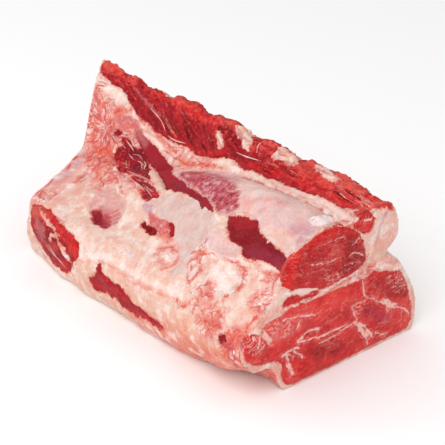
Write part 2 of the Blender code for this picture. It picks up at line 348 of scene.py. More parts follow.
sideFatTones = [  # tone, softness, strength, outline
    # the low edge
    ("butter", 14, 0.6, [(-60, -46), (0, -34), (160, -26), (216, -30), (216, -75), (-60, -75)]),
    ("peach", 14, 0.8, [(80, -44), (130, -34), (216, -24), (216, -75), (70, -75)]),
    # the far end
    ("white", 3.5, 0.75, [(-176, 122), (-165, 131), (-134, 127), (-134, 117), (-168, 117)]),
    ("rose", 2.0, 0.9, [(-152, 100), (-141, 109), (-129, 113), (-116, 112), (-104, 108), (-98, 98),
        (-117, 96), (-131, 98), (-144, 97)]),
    ("veil", 2, 0.8, [(-129, 97), (-110, 94), (-96, 88), (-103, 84), (-130, 91)]),
    ("lilac", 5, 0.75, [(-155, -3), (-178, 56), (-162, 57), (-145, 26), (-143, 5)]),
    ("pink", 9, 0.6, [(-178, 60), (-170, 88), (-150, 90), (-108, 50), (-130, 36), (-160, 44)]),
    ("flush", 8, 0.7, [(-205, 62), (-202, 140), (-184, 124), (-160, 104), (-132, 94), (-124, 74),
        (-150, 60), (-180, 56)]),
    ("rose", 4, 0.6, [(-206, 80), (-204, 150), (-192, 134), (-186, 86)]),
    ("raw", 6, 0.5, [(-142, 98), (-112, 104), (-48, 80), (-44, 54), (-90, 53), (-130, 64)]),
    ("pink", 10, 0.45, [(-160, 20), (-150, 56), (-110, 50), (-98, 30), (-108, -10), (-140, -12)]),
    ("pink", 6, 0.5, [(-140, 46), (-120, 50), (-60, 50), (-60, 38), (-100, 40), (-130, 30)]),
    # the joint's disc
    ("veil", 3, 0.6, [(-83, 11), (-94, 29), (-89, 35), (-74, 38), (-54, 34), (-41, 27), (-32, 18),
        (-31, -1), (-40, -3), (-71, 3)]),
    ("rose", 2.0, 0.8, [(-82, 11), (-79, 17), (-60, 16), (-40, 24), (-30, 14), (-32, 4), (-45, 8),
        (-72, 6)]),
    ("mauve", 1.2, 1.0, [(-77, 6), (-72, 11), (-60, 14), (-49, 13), (-41, 9), (-36, 3), (-33, -4),
        (-42, -3), (-68, 2)]),
    ("deep", 3.0, 0.8, [(-74, 6), (-62, 11), (-48, 8), (-38, -2), (-67, 4)]),
    # torn fat at the far end
    ("pink", 9, 0.5, [(-190, 60), (-186, 110), (-172, 116), (-160, 90), (-160, 60)]),
    ("blotch", 5, 0.6, [(-175, 79), (-168, 84), (-146, 79), (-113, 55), (-138, 55), (-168, 64)]),
    ("blotch", 3, 0.7, [(-177, 98), (-164, 101), (-150, 112), (-134, 119), (-130, 114), (-160, 97)]),
    # around the knob
    ("raw", 2.5, 0.85, [(27, 23), (47, 30), (56, 29), (62, 26), (46, 19), (28, 19)]),
    ("scarlet", 1.5, 0.8, [(22, 26), (32, 27), (38, 25), (34, 22), (27, 20)]),
    ("blush", 1.5, 0.9, [(-3, 36), (3, 39), (17, 37), (27, 41), (36, 40), (46, 34), (42, 26), (16, 26),
        (4, 31)]),
    ("lilac", 2.5, 0.85, [(-19, 37), (-20, 43), (-9, 47), (3, 46), (3, 38), (-7, 34)]),
    ("white", 6, 0.6, [(26, 15), (47, 24), (64, 22), (72, 12), (70, 0), (50, 0)]),
    ("cream", 9, 0.6, [(-40, -26), (20, 2), (180, 14), (214, 24), (214, -16), (80, -12)]),
    # the fillet's skin
    ("lilac", 3, 0.75, veiledFillet), ("mauve", 3, 0.7, [(-11, 87), (6, 99), (46, 92), (40, 81), (6, 80)]),
    ("mauve", 3, 0.7, [(67, 93), (90, 104), (119, 87), (109, 77), (91, 76), (75, 81)]),
    # the white area after clearFillet is painted highlight along the upper edge of the fillet's skin
    ("film", 7, 0.9, clearFillet), ("white", 7, 0.5, [(72, 110), (92, 110), (143, 90), (129, 87)]),
    ("white", 4, 0.8, [(84, 106), (92, 115), (144, 117), (138, 106), (112, 102)]),
    ("pink", 4, 0.6, [(106, 100), (128, 100), (134, 92), (124, 88), (108, 92)]),
    ("bluish", 6, 0.9, [(184, 92), (198, 107), (213, 104), (213, 88), (200, 84)]),
    ("veil", 5, 0.6, [(184, 88), (196, 92), (213, 92), (213, 78)]),
    ("cream", 5, 0.8, [(168, 82), (190, 90), (206, 80), (206, 71), (174, 77)]),
    ("pink", 4, 0.9, [(133, 107), (156, 115), (164, 107), (140, 101)]),
    ("flush", 3, 0.7, [(-40, 101), (20, 113), (15, 106), (-6, 98), (-30, 94)]),
    ("pink", 4, 0.6, [(166, 131), (182, 134), (204, 144), (214, 146), (214, 128)]),
    # knuckles near the hip end
    ("film", 4, 0.8, knuckleFilm), ("mauve", 1.4, 0.9, [(99, 37), (100, 44), (106, 48), (105, 41)]),
    ("raw", 3, 0.7, [(188, 44), (195, 50), (203, 51), (203, 40), (196, 36), (194, 42)]),
    ("scarlet", 1.2, 0.9, [(202, 50), (206, 53.5), (211, 53), (207, 49)]),
    ("blotch", 4, 0.7, [(134, 1), (140, 7), (154, 6), (150, -4), (140, -4)]),
    ("blotch", 4, 0.65, [(152, -19), (164, -10), (181, -9), (184, -17), (166, -23)]),
    ("silver", 5, 0.6, [(163, -29), (193, -15), (199, -22), (189, -32), (169, -38)]),
    ("silver", 5, 0.7, [(130, 14), (149, 32), (165, 36), (175, 27), (173, 15), (160, 6), (143, 6)]),
    ("white", 5, 0.8, [(190, 30), (200, 41), (211, 43), (216, 16), (205, 10)]),
    ("white", 1.5, 0.8, [(129, 20), (143, 29), (164, 35), (169, 26), (165, 16), (152, 9), (137, 11)]),
    ("pink", 2, 0.6, [(46, 11), (55, 19), (71, 22), (81, 17), (83, 6), (76, -1), (62, 1)]),
    ("white", 3, 0.8, [(56, 12), (66, 16), (74, 12), (72, 4), (62, 5)]),
    ("film", 2, 0.8, [(93, 22), (106, 31), (118, 27), (125, 7), (120, 2), (101, 8)]),
    ("cream", 2, 0.9, [(48, -30), (85, -21), (110, -18), (107, -28), (89, -33), (67, -35), (47, -40)]),
    ("orange", 2.5, 0.7, [(153, -21), (174, -15), (185, -14), (177, -22), (159, -26)]),
    ("orange", 3, 0.7, [(189, -12), (202, -7), (208, -17), (207, -26), (198, -23)]),
    ("deep", 1.2, 0.9, [(182, -25), (189, -21), (194, -25), (187, -29)]),
    ("blotch", 5, 0.6, [(194, -4), (208, 2), (216, -2), (216, -36), (200, -42), (188, -28)]),
    # low at the hip end
    ("peach", 7, 0.7, [(160, -40), (216, -30), (216, -70), (150, -70)]),
    ("flush", 8, 0.5, [(20, -60), (150, -42), (216, -36), (216, -75), (20, -75)]),
    ("raw", 10, 0.3, [(30, -62), (60, -46), (170, -42), (216, -36), (216, -75), (30, -75)]),
    ("blotch", 5, 0.5, [(-160, 106), (-146, 116), (-126, 112), (-108, 100), (-122, 90), (-150, 94)]),
]
sideFatLines = [  # tone, half width, softness, strength, chain
    # the fold above the low edge
    ("flush", 2.2, 1.5, 0.35, [(-44, -44), (-20, -33), (20, -25), (48, -26), (90, -20)]),
    ("white", 3.0, 1.8, 0.95, [(-42, -39), (-18, -28), (18, -20), (47, -21), (112, -13)]),
    ("flush", 1.2, 1.2, 0.8, [(21, -29), (52, -30), (133, -15)]),
    ("blotch", 1.4, 1.2, 0.8, [(46, 11), (55, 19), (71, 22), (82, 17), (84, 6), (76, -1)]),
    # the far end
    ("mauve", 1.0, 1.0, 0.9, [(-165, 31), (-171, 45)]),
    ("orange", 4.5, 2.0, 0.6, [(-134, 22), (-136, 31), (-131, 38)]),
    ("silver", 3.0, 1.5, 0.9, [(-131, 25), (-132, 31), (-129, 35)]),
    ("clot", 1.2, 0.8, 1.0, [(-133, 23), (-135, 31), (-131, 37)]),
    ("wine", 0.8, 0.8, 0.9, [(-128, 25), (-126, 31)]), ("scarlet", 1.8, 1.5, 0.9, [(-184, 93), (-177, 78)]),
    ("scarlet", 1.6, 1.6, 0.85, [(-151, -13), (-162, 20)]),
    ("scarlet", 2.2, 1.8, 0.8, [(-165, 31), (-170, 43)]),
    ("plum", 2.2, 2.5, 0.8, [(-184, 112), (-160, 103)]),
    # small blue vessels
    ("blue", 1.1, 1.2, 0.7, [(16, -6), (25, -7)]), ("blue", 0.8, 1.0, 0.6, [(29, -9), (36, -11)]),
    # along the fillet and the wall
    ("lilac", 1.2, 1.2, 0.8, [(-56, 93), (-42, 88), (-3, 82), (26, 80)]),
    ("white", 2.2, 2.0, 0.8, [(-108, 110), (-91, 105), (-39, 97)]),
    ("white", 2.4, 2.0, 0.7, [(-48, 107), (-9, 107), (28, 120), (47, 118)]),
    ("cream", 2.4, 2.0, 0.9, [(93, 124), (150, 132), (180, 130)]),
    ("clot", 1.0, 0.8, 0.95, [(58, 114), (71, 117), (170, 123), (186, 122.5), (198, 120)]),
    # painted highlight: white line along the flap just above the groove's crease
    ("white", 3.0, 1.8, 0.9, [(128, 130), (175, 131), (202, 128)]),
    ("orange", 1.4, 1.4, 0.7, [(-30, 98), (24, 112)]),
    ("orange", 1.4, 1.4, 0.6, [(-118, 104), (-96, 108), (-44, 102)]),
    # knuckles near the hip end
    ("white", 3.0, 2.0, 0.8, [(200, 45), (213, 34)]), ("pink", 2.0, 2.0, 0.6, [(-102, -32), (-47, -50)]),
    ("orange", 1.3, 1.0, 0.95, [(211, 52), (207, 50.5), (204, 45), (204, 40), (211, 33)]),
    ("orange", 1.2, 1.2, 0.7, [(186, 46), (203, 51)]), ("orange", 1.2, 1.2, 0.7, [(188, 40), (204, 43)]),
    ("blotch", 1.6, 1.6, 0.7, [(186, -12), (197, -18), (203, -25)]),
    ("blotch", 1.6, 1.6, 0.7, [(197, -8), (205, -15), (209, -23)]),
    ("orange", 2.0, 2.5, 0.5, [(138, -52), (157, -48), (206, -30)]),
    ("bluish", 2.0, 2.0, 0.7, [(-138, -22), (-122, -28), (-116, -40)]),
]
redVeins = [  # half width and chain
    (0.9, [(-182, 120), (-180, 109), (-181, 98)]), (0.9, [(-184, 91), (-179, 79)]),
    (0.8, [(-179, 121), (-162, 106)]), (0.7, [(-149, 107), (-138, 114), (-128, 118)]),
    (0.8, [(-167, 82), (-164, 72), (-153, 64), (-125, 59), (-104, 53), (-99, 44)]),
    (0.7, [(-145, 42), (-129, 50), (-98, 53)]), (0.7, [(-103, 52), (-57, 39)]),
    (0.6, [(-162, 62), (-148, 61), (-123, 56)]), (0.7, [(-57, 54), (-19, 47)]),
    (0.7, [(-118, 116), (-96, 113), (-44, 103)]),
    (0.7, [(-61, 100), (-39, 97), (-19, 97), (-2, 107), (15, 111)]), (0.9, [(207, 118), (209, 125)]),
    (0.6, [(22, 24), (53, 31)]), (0.5, [(119, 0), (105, 10), (102, 26), (116, 36), (154, 41), (175, 38)]),
    (0.5, [(168, 36), (175, 27), (175, 17), (166, 8)]),
    (0.6, [(130, -15), (135, -7), (141, -8), (139, -17)]),
    (0.5, [(106, 29), (115, 21), (121, 11), (119, 2)]), (0.5, [(115, -18), (118, -23), (129, -18)]),
    (0.6, [(209, 10), (207, -3), (210, -14)]), (0.6, [(194, 47), (203, 50), (211, 47)]),
    (0.5, [(197, 44), (207, 53), (214, 53)]),
]
threads = [  # pale strands lying on the red: tone, half width and chain
    ("marble", 0.6, [(-104, 130), (-92, 127), (-81, 124), (-72, 117)]),
    ("marble", 0.8, [(-66, 114), (-55, 113), (-40, 116)]),
    ("marble", 0.7, [(29, 133), (47, 134), (64, 137)]), ("marble", 0.8, [(51, 142), (48, 149), (50, 155)]),
    ("pink", 0.6, [(-130, 84), (-124, 82), (-116, 80)]), ("rose", 0.7, [(-110, 77), (-103, 75), (-96, 74)]),
    ("pink", 0.6, [(-91, 75), (-84, 76), (-72, 73)]),
    ("rose", 0.7, [(-104, 79), (-96, 81), (-90, 80.5), (-84, 78)]),
    ("cream", 0.9, [(-83, 78.5), (-74, 75.5), (-62, 71)]),
    ("rose", 1.5, [(-82, 60.5), (-69, 61.5), (-58, 62.5), (-48, 63.5), (-36, 64), (-28, 63.5)]),
    ("veil", 1.2, [(-71, 55), (-59, 55), (-44, 54), (-33, 52)]),
    ("lilac", 1.0, [(-37, 55), (-28, 54), (-17, 51)]), ("cream", 1.1, [(-70, 76.5), (-60, 76), (-50, 75)]),
    ("rose", 0.8, [(-122, 88), (-114, 86), (-104, 82)]), ("marble", 0.5, [(-49, 12), (-44, 18), (-39, 25)]),
    ("marble", 0.5, [(-44, 9), (-38, 15), (-34, 20)]), ("marble", 0.5, [(-40, 5), (-34, 12), (-32, 17)]),
]
creases = [  # reach, depth and chain of grooves
    (1.4, 2.4, [(58, 114), (71, 117), (99, 119), (119, 119), (136, 121), (170, 123), (186, 122.5)]),
    (1.6, 1.4, [(-76, 5), (-84, 12), (-92, 22), (-94, 30)]), (1.8, 2.6, [(-6, 27), (6, 24), (25, 22)]),
    (1.5, 2.0, [(38, 39), (47, 37), (53, 31)]),
    (1.2, 1.6, [(-100, 87), (-74, 79), (-33, 74.5), (-21, 71), (-3, 65.5)]),
    (1.2, 1.6, [(210, 52), (206, 50), (203.5, 44), (204, 40), (207, 36)]),
    (1.5, 1.4, [(-132, 80), (-124, 86), (-106, 90), (-88, 84)]),
    (1.5, 1.2, [(-74, 58), (-46, 56), (-20, 51)]), (1.4, 1.0, [(110, 73), (119, 64), (134, 54), (152, 53)]),
    (1.8, 1.4, [(-44, -46), (-20, -35), (20, -27), (48, -28), (92, -22)]),
    (1.6, 1.2, [(44, 9), (54, 18), (71, 23), (84, 17), (85, 5)]),
    (1.5, 1.2, [(128, 16), (141, 29), (164, 36), (171, 26)]),
    (1.5, 1.0, [(92, 24), (106, 33), (119, 28), (124, 14)]),
    (1.5, 1.2, [(150, -24), (172, -18), (188, -16), (203, -6)]),
]
pits = [  # side chart place, reach and depth of hollows
    (-54, 4, 13, 3.2), (-133, 31, 5, 2.4), (5, 25, 6, 2.0), (14, 24, 6, 2.0), (47, 35, 5, 1.6),
    (186, -26, 4.5, 2.0), (102, 42, 4, 1.2), (-30, 58, 6, 1.5), (-64, 66, 7, 1.6), (40, 73, 12, 1.4),
    (160, 62, 22, 2.2), (195, 60, 18, 1.8), (130, 68, 12, 1.6),
]
veinyAreas = [  # side chart place, reach and strength of the red between the folds
    (-150, 66, 30, 1.0), (-125, 58, 30, 0.8), (-102, 48, 30, 0.7), (-165, 95, 34, 0.7),
    (-30, 106, 30, 0.55), (0, 110, 18, 0.55), (98, 28, 22, 0.6), (140, 2, 20, 0.6), (165, -16, 26, 0.7),
    (203, -24, 24, 0.9), (20, 46, 18, 0.4), (-60, 52, 26, 0.4), (120, 40, 20, 0.35), (170, 44, 22, 0.4),
    (60, 14, 22, 0.4), (-90, 14, 22, 0.2), (40, -30, 26, 0.2), (204, 24, 18, 0.7), (-140, -8, 20, 0.7),
]
films = [  # smooth, shining areas
    [(-88, 8), (-90, 28), (-82, 38), (-58, 38), (-38, 28), (-32, 12), (-36, -4)], veiledFillet, clearFillet,
    knuckleFilm, [(-152, 100), (-141, 109), (-129, 113), (-104, 108), (-96, 98), (-117, 96)],
]
mottledAreas = [  # lean that shows through the fillet's skin
    [(-6, 84), (-12, 92), (10, 102), (62, 106), (90, 102), (104, 96), (121, 84), (106, 76), (88, 72),
        (60, 81), (26, 81)],
]
streakyFat = [  # red and white strands in the fat
    [(-190, 70), (-182, 142), (-172, 133), (-172, 118), (-156, 114), (-140, 86), (-152, 62), (-170, 60)],
    [(-144, -24), (-122, -14), (-56, -20), (-38, -34), (-50, -64), (-110, -64), (-132, -50)],
    [(186, 130), (196, 144), (206, 150), (220, 150), (218, 128)],
    [(-142, 98), (-112, 102), (-2, 62), (-2, 46), (-90, 51), (-130, 64), (-146, 82)],
]


# the body of the piece
body = {
    "voxel": 1.8, "fatLump": 0.5, "fold": 1.6, "leanFibre": 0.8, "torn": 2.0, "border": 0.9,
    "floorFade": 10.0, "wallSlope": 0.5, "squeeze": 0.24,
}
fan = {"x": -152, "v": 88, "reach": 46, "width": 22}  # where the strands of the far end meet


def ridgeAt(x):  # y and z of the flank's top edge, in mm
    return 53 + 0.098 * x, 163 - 0.037 * x


def farPlane(y):  # x of the far cut
    return -148.75 - 0.336 * (y + 103.85)


def remeshed(source, voxel):
    bm = bmesh.new()
    bm.from_mesh(source.data)
    bmesh.ops.remove_doubles(bm, verts=bm.verts, dist=0.00001)
    rough = toObject("rough", bm)
    even = rough.modifiers.new("even", "REMESH")
    even.mode = "VOXEL"
    even.voxel_size = voxel * mm
    graph = bpy.context.evaluated_depsgraph_get()
    mesh = bpy.data.meshes.new_from_object(rough.evaluated_get(graph))
    bpy.data.objects.remove(rough)
    return mesh


def readMesh(mesh):
    places = np.empty(len(mesh.vertices) * 3, np.float32)
    normals = np.empty(len(mesh.vertices) * 3, np.float32)
    mesh.vertices.foreach_get("co", places)
    mesh.vertex_normals.foreach_get("vector", normals)
    return places.reshape(-1, 3).astype(float) / mm, normals.reshape(-1, 3).astype(float)


def regions(places, normals):  # how much each point belongs to the cuts, the back and the floor
    x, y, z = places.T
    ridgeY, ridgeZ = ridgeAt(x)
    near = ease(x, 212.8, 214.3) * ease(normals[:, 0], 0.25, 0.6)
    far = ease(farPlane(y) - x, -1.6, -0.2) * ease(-normals[:, 0], 0.25, 0.6)
    back = ease(y - ridgeY - 4 + 0.31 * (ridgeZ - z), -3, 3)
    floor = ease(-normals[:, 2], 0.5, 0.9) * (1 - ease(z, 2, 8))
    return {"near": near, "far": far, "back": back * (1 - near) * (1 - far), "floor": floor}


def foldsAt(places):  # two signed noises; the fat folds where they cross 0
    bent = places + 2.5 * np.stack([ripple(places, 8, seed) for seed in (71, 73, 75)], axis=1)
    return ripple(bent, 11, 77), ripple(bent, 6.5, 79, 1)


def grainAt(places, side, onWall, back, cut):  # along and across the strands, in metres
    x, v = side.T
    steps = np.linspace(-230, 230, 93)
    drop = np.cumsum(5 * body["wallSlope"] * (1 - ease(steps, 0, 80)))
    along = x * body["squeeze"]
    fromFan = np.stack([x - fan["x"], v - fan["v"]], axis=1)
    gap = np.linalg.norm(fromFan, axis=1)
    spoke = np.abs(np.arctan2(fromFan[:, 1], -fromFan[:, 0])) * fan["width"]
    inFan = (1 - ease(gap, 0.7 * fan["reach"], fan["reach"])) * (1 - onWall)
    grain = np.column_stack([along, v, 0 * x])
    for share, runs in (
        (onWall, [along, v + np.interp(x, steps, drop), 0 * x]),
        (inFan, [gap * body["squeeze"], spoke, 0 * x]),
        (back, [along, places[:, 2], places[:, 1]]),
        (cut, [*places.T]),
    ):
        grain += (np.column_stack(runs) - grain) * share[:, None]
    return grain * mm


def drawBody(places, normals):  # everything that the finish and the relief read, at each point
    where = regions(places, normals)
    x, y, z = places.T
    side = waver(np.stack([x, places @ upSide], axis=1), places)
    across = waver(np.stack([y, z], axis=1), places)
    back = waver(np.stack([x, z], axis=1), places)
    cut = np.clip(where["near"] + where["far"], 0, 1)
    onSide = (1 - cut) * (1 - where["back"])

    fat = np.tile(tones["cream"], (len(places), 1))
    fat = paintLines(paintAreas(fat, side, sideFatTones), side, sideFatLines)
    for key, base, spots, areas, lines in (
        ("back", "cream", back, backFatTones, backFatLines),
        ("near", "cream", across, nearFatTones, nearFatLines),
        ("far", "cream", across, farFatTones, farFatLines),
    ):
        colours = paintLines(paintAreas(np.tile(tones[base], (len(places), 1)), spots, areas), spots, lines)
        fat += (colours - fat) * where[key][:, None]

    lean = np.tile(tones["lean"], (len(places), 1))
    calm = np.zeros(len(places))
    for name, quiet, outline in sideLean:
        share = ease(depthIn(side, rounded(outline)), -4, -2)
        lean = stain(lean, share, name)
        calm = np.maximum(calm, share * quiet)
    lean = paintLines(paintAreas(lean, side, sideLeanTones), side, sideLeanLines)
    toRidge = z - ridgeAt(x)[1]
    # specks of painted highlight, laid in light red along the flank's top edge
    highlightSpecks = ease(ripple(places, 5, 95, 3), 0.0, 0.45)
    for name, share, strength in (
        ("ember", ease(toRidge + 8 * ripple(places, 9, 85), -9, 1), 0.6),
        ("blotch", ease(toRidge + 3.5 * ripple(places, 6, 83), -4, 1), 0.6),
        ("highlightRed", highlightSpecks * ease(toRidge, -15, -5), 0.8),
        ("fresh", where["near"], 0.7),
    ):
        lean = stain(lean, share, name, strength)
    wall = depthIn(side, rounded(wallLean))
    lumps = deepest(side, fatOnLean) + 1.5 * ripple(places, 6, 81)
    depth = np.maximum(wall, deepest(side, [outline for _, _, outline in sideLean]))
    depth = np.minimum(depth, -lumps)
    strip = toRidge + 8 + 9 * ripple(places, 34, 93)
    for key, elsewhere in (
        ("back", np.maximum(deepest(back, backLean), np.minimum(strip, 6))),
        ("near", deepest(across, nearLean)), ("far", deepest(across, farLean)), ("floor", -99),
    ):
        depth = np.where(where[key] > 0.5, elsewhere, depth)

    veins = nearestChain(side, redVeins)
    veiny = np.maximum(0.12, 0.6 * np.exp(-(np.maximum(veins, 0) / 3) ** 2))
    for cx, cv, reach, much in veinyAreas:
        gap = np.hypot(x - cx, side[:, 1] - cv) / reach
        veiny = np.maximum(veiny, much * (1 - ease(gap, 0.45, 1)))
    veiny = np.where(onSide > 0.5, veiny, 0.15 + 0.35 * ease(ripple(places, 45, 91), 0.0, 0.7))
    veins = np.where(onSide > 0.5, veins, 99)
    veins = np.where(where["near"] > 0.5, nearestChain(across, nearVeins), veins)
    film = ease(deepest(side, films), -4, 4) * onSide
    mottled = ease(deepest(side, mottledAreas), -2, 2.5) * onSide
    streaky = np.maximum(0.55 * ease(wall, -2, 2), ease(deepest(side, streakyFat), -5, 5)) * onSide
    streaky = np.maximum(streaky, 0.9 * ease(deepest(back, backStreaks), -10, 14) * where["back"])
    streaky = np.maximum(streaky, 0.75 * ease(toRidge, -18, -5) * (1 - 0.6 * ease(x, 40, 150)))
    streaky = np.where(depth > -2, np.maximum(streaky, 0.5) * (1 - calm), streaky * (1 - 0.9 * film))
    wide, narrow = foldsAt(places)
    return {
        "where": where, "side": side, "lumps": lumps, "calm": calm, "fatTint": fat, "leanTint": lean,
        "edge": np.stack([depth, veins, mottled], axis=1),
        "soft": np.stack([film, np.clip(veiny * (1 - 0.8 * film), 0, 1), streaky], axis=1),
        "folds": np.stack([wide, narrow, np.zeros(len(places))], axis=1),
        "grain": grainAt(places, side, ease(wall, -3, 1), where["back"], cut),
    }


def bodyRelief(places, normals, drawn):  # how far the surface stands out, in mm
    where, side = drawn["where"], drawn["side"]
    depth = drawn["edge"][:, 0]
    film, veiny, streaky = drawn["soft"].T
    wide, narrow, _ = drawn["folds"].T
    x, _, z = places.T
    lean = ease(depth, -0.8, 0.8)
    cut = np.clip(where["near"] + where["far"], 0, 1)
    onSide = (1 - where["back"]) * (1 - cut)
    swell = body["fatLump"] * (ripple(places, 9, 2, 3) + 0.5 * ripple(places, 3.4, 4))
    folded = np.minimum(np.abs(wide), 0.5) + 0.5 * np.minimum(np.abs(narrow), 0.5) - 0.45
    swell += body["fold"] * folded * (0.25 + veiny)
    rise = swell * (1 - lean) * (1 - 0.75 * film) * (1 - 0.5 * cut)
    strand = ripple(drawn["grain"] / mm, 4.5, 6, 2) + 0.5 * ripple(places, 7, 8)
    rise += body["leanFibre"] * strand * np.maximum(lean, streaky) * (1 - 0.8 * drawn["calm"])
    rise -= body["border"] * np.exp(-((depth - 0.6) / 1.5) ** 2) * (1 - cut)
    rise -= 0.5 * lean * (1 - where["back"])
    rise += onSide * 1.8 * ease(drawn["lumps"], -1, 4) * (1 + 0.5 * ripple(places, 5, 14))
    for cx, cv, reach, deep in pits:
        rise -= onSide * deep * np.exp(-(((x - cx) ** 2 + (side[:, 1] - cv) ** 2) / (0.6 * reach) ** 2))
    for reach, deep, chain in creases:
        rise -= onSide * deep * np.exp(-(gapToChain(side, rounded(chain, closed=False)) / reach) ** 2)
    ridgeZ = ridgeAt(x)[1]
    crest = ease(z, ridgeZ - 22, ridgeZ - 6)
    rise += crest * body["torn"] * (ripple(places, 8, 21, 3) + 0.4 * ripple(places, 3.4, 22))
    return rise * ease(z, 0.5, body["floorFade"])


backLean = [  # red patches on the outer side
    [(-156, 118), (-140, 124), (-120, 121), (-104, 124), (-88, 122), (-98, 117), (-130, 113)],
    [(34, 127), (62, 133), (80, 128), (104, 131), (128, 122), (112, 117), (90, 122), (66, 117), (48, 121)],
]
backStreaks = [  # streaky areas on the outer side
    [(-190, 126), (-150, 140), (-60, 132), (-20, 112), (-70, 98), (-130, 96), (-186, 106)],
    [(10, 134), (70, 142), (150, 136), (200, 124), (150, 108), (80, 106), (20, 116)],
    [(-80, 66), (-40, 78), (20, 80), (70, 66), (40, 48), (-66, 50)],
    [(96, 62), (140, 80), (196, 74), (206, 54), (160, 44), (110, 48)],
    [(-190, 56), (-150, 72), (-112, 60), (-140, 42)],
]
backFatTones = [
    ("white", 14, 0.6, [(-200, 90), (-100, 100), (200, 88), (200, 70), (0, 78), (-190, 72)]),
    ("pink", 10, 0.6, [(-200, 160), (-60, 160), (200, 150), (200, 120), (0, 130), (-190, 130)]),
    ("peach", 12, 0.7, [(-210, 26), (220, 26), (220, -4), (-210, -4)]),
    ("film", 8, 0.7, [(-90, 92), (-30, 98), (30, 90), (-10, 80), (-70, 80)]),
    ("film", 8, 0.7, [(80, 90), (130, 98), (180, 88), (150, 78), (100, 80)]),
    ("peach", 9, 0.6, [(-120, 44), (-70, 50), (-20, 40), (-60, 30), (-120, 34)]),
    ("pink", 9, 0.5, [(60, 44), (120, 50), (190, 40), (140, 28), (80, 30)]),
]
backFatLines = [
    ("white", 2.5, 2.5, 0.7, [(-190, 84), (-120, 88), (-50, 84), (30, 88), (110, 84), (205, 86)]),
    ("blotch", 1.8, 2.0, 0.5, [(-160, 100), (-110, 96), (-60, 100), (-10, 94)]),
    ("blotch", 1.6, 2.0, 0.5, [(50, 98), (100, 94), (160, 100)]),
    ("bluish", 3.0, 3.0, 0.5, [(-40, 60), (20, 78), (90, 66)]),
]


# the cut faces
filletOutline = [
    (-59, 110), (-63, 120), (-62, 131), (-56, 139), (-46, 145), (-33, 149), (-20, 154), (-8, 155), (6, 153),
    (16, 148), (26, 141), (32, 131), (37, 119), (37, 112), (40, 106), (35, 100), (24, 97), (9, 95),
    (-4, 94), (-17, 95), (-22, 98), (-33, 102), (-46, 107),
]
loinOutline = [
    (-72, 85), (-64, 84), (-55, 89), (-38, 87), (-20, 86), (8, 87), (28, 85), (41, 87), (53, 88), (66, 83),
    (88, 76), (94, 62), (99, 52), (101, 40), (105, 31), (106, 22), (105, 12), (101, 4), (82, 4), (59, 4),
    (40, 3), (22, 3), (-4, 3), (-23, 3), (-45, 3), (-57, 5), (-60, 16), (-62, 30), (-66, 38), (-76, 40),
    (-92, 42), (-102, 50), (-107, 60), (-106, 70), (-99, 79), (-89, 76), (-84, 79), (-82, 84),
]
smallOutline = [
    (29, 151), (32, 157), (41, 158), (48, 148), (46, 140), (43, 135), (33, 136), (25, 142), (21, 148),
]
cornerOutline = [
    (50, 156), (58, 159), (67, 158), (73, 152), (74, 147), (70, 147), (65, 152), (57, 153),
]
bandOutline = [
    (-63, 93), (-60, 103), (-50, 101), (-36, 95), (-18, 93), (-22, 89.5), (-40, 91), (-54, 92),
]
bitOutline = [(-32, 96.5), (-27, 97.5), (-19, 95), (-21, 92.5), (-30, 94)]
nearLean = [filletOutline, loinOutline, smallOutline, cornerOutline, bandOutline, bitOutline]
nearFatTones = [
    ("flush", 5, 0.35, [(58, 150), (70, 152), (84, 130), (84, 112), (66, 108), (60, 98), (55, 112)]),
    ("white", 4, 0.6, [(44, 150), (52, 148), (48, 104), (42, 110)]),
    ("pink", 4, 0.6, [(-90, 92), (-60, 98), (0, 92), (68, 102), (88, 84), (96, 82), (60, 88), (-40, 90),
        (-70, 86)]),
    ("pink", 3, 0.5, [(-88, 48), (-74, 44), (-62, 38), (-54, 10), (-62, 4), (-72, 28)]),
    # painted light: white over the slab on the near face's right side, brightening where it faces away from
    # the key light
    ("white", 6, 0.5, [(56, 150), (70, 152), (84, 130), (84, 112), (66, 108), (58, 120)]),
    ("orange", 1.2, 0.9, [(5, 152), (12, 154), (17, 155), (24, 150), (21, 145)]),
    ("pink", 2, 0.8, [(-60, 90), (-33, 87), (-12, 88), (-22, 85), (-56, 87)]),
    ("peach", 4, 0.7, [(60, 6), (90, 5), (106, 8), (112, 30), (110, 50), (104, 50), (106, 20)]),
]
nearFatLines = [
    ("flush", 2.0, 1.5, 0.6, [(-62, 96), (-10, 89), (14, 90), (40, 96), (66, 96)]),
    ("white", 1.0, 0.6, 0.95, [(-58, 91.5), (-33, 90), (-12, 90), (26, 96), (42, 95), (60, 91), (76, 85)]),
    ("clot", 0.5, 0.5, 0.8, [(-34, 89), (-19, 88.2), (-7, 88.2), (26, 93)]),
    ("white", 1.3, 0.7, 0.85, [(-58, 106), (-28, 101), (-17, 93), (-4, 92), (24, 95), (37, 99), (44, 107),
        (50, 140)]),
    ("bluish", 1.2, 1.2, 0.8, [(66, 152), (57, 143), (53, 131), (51, 114)]),
    ("rose", 1.2, 1.2, 0.6, [(76, 84), (84, 92), (88, 82)]),
]
nearVeins = [  # half width and chain
    (0.5, [(-50, 99), (-38, 97), (-27, 96), (-17, 93)]),
    (0.3, [(8, 90), (30, 92), (52, 96), (66, 92), (90, 80)]),
]
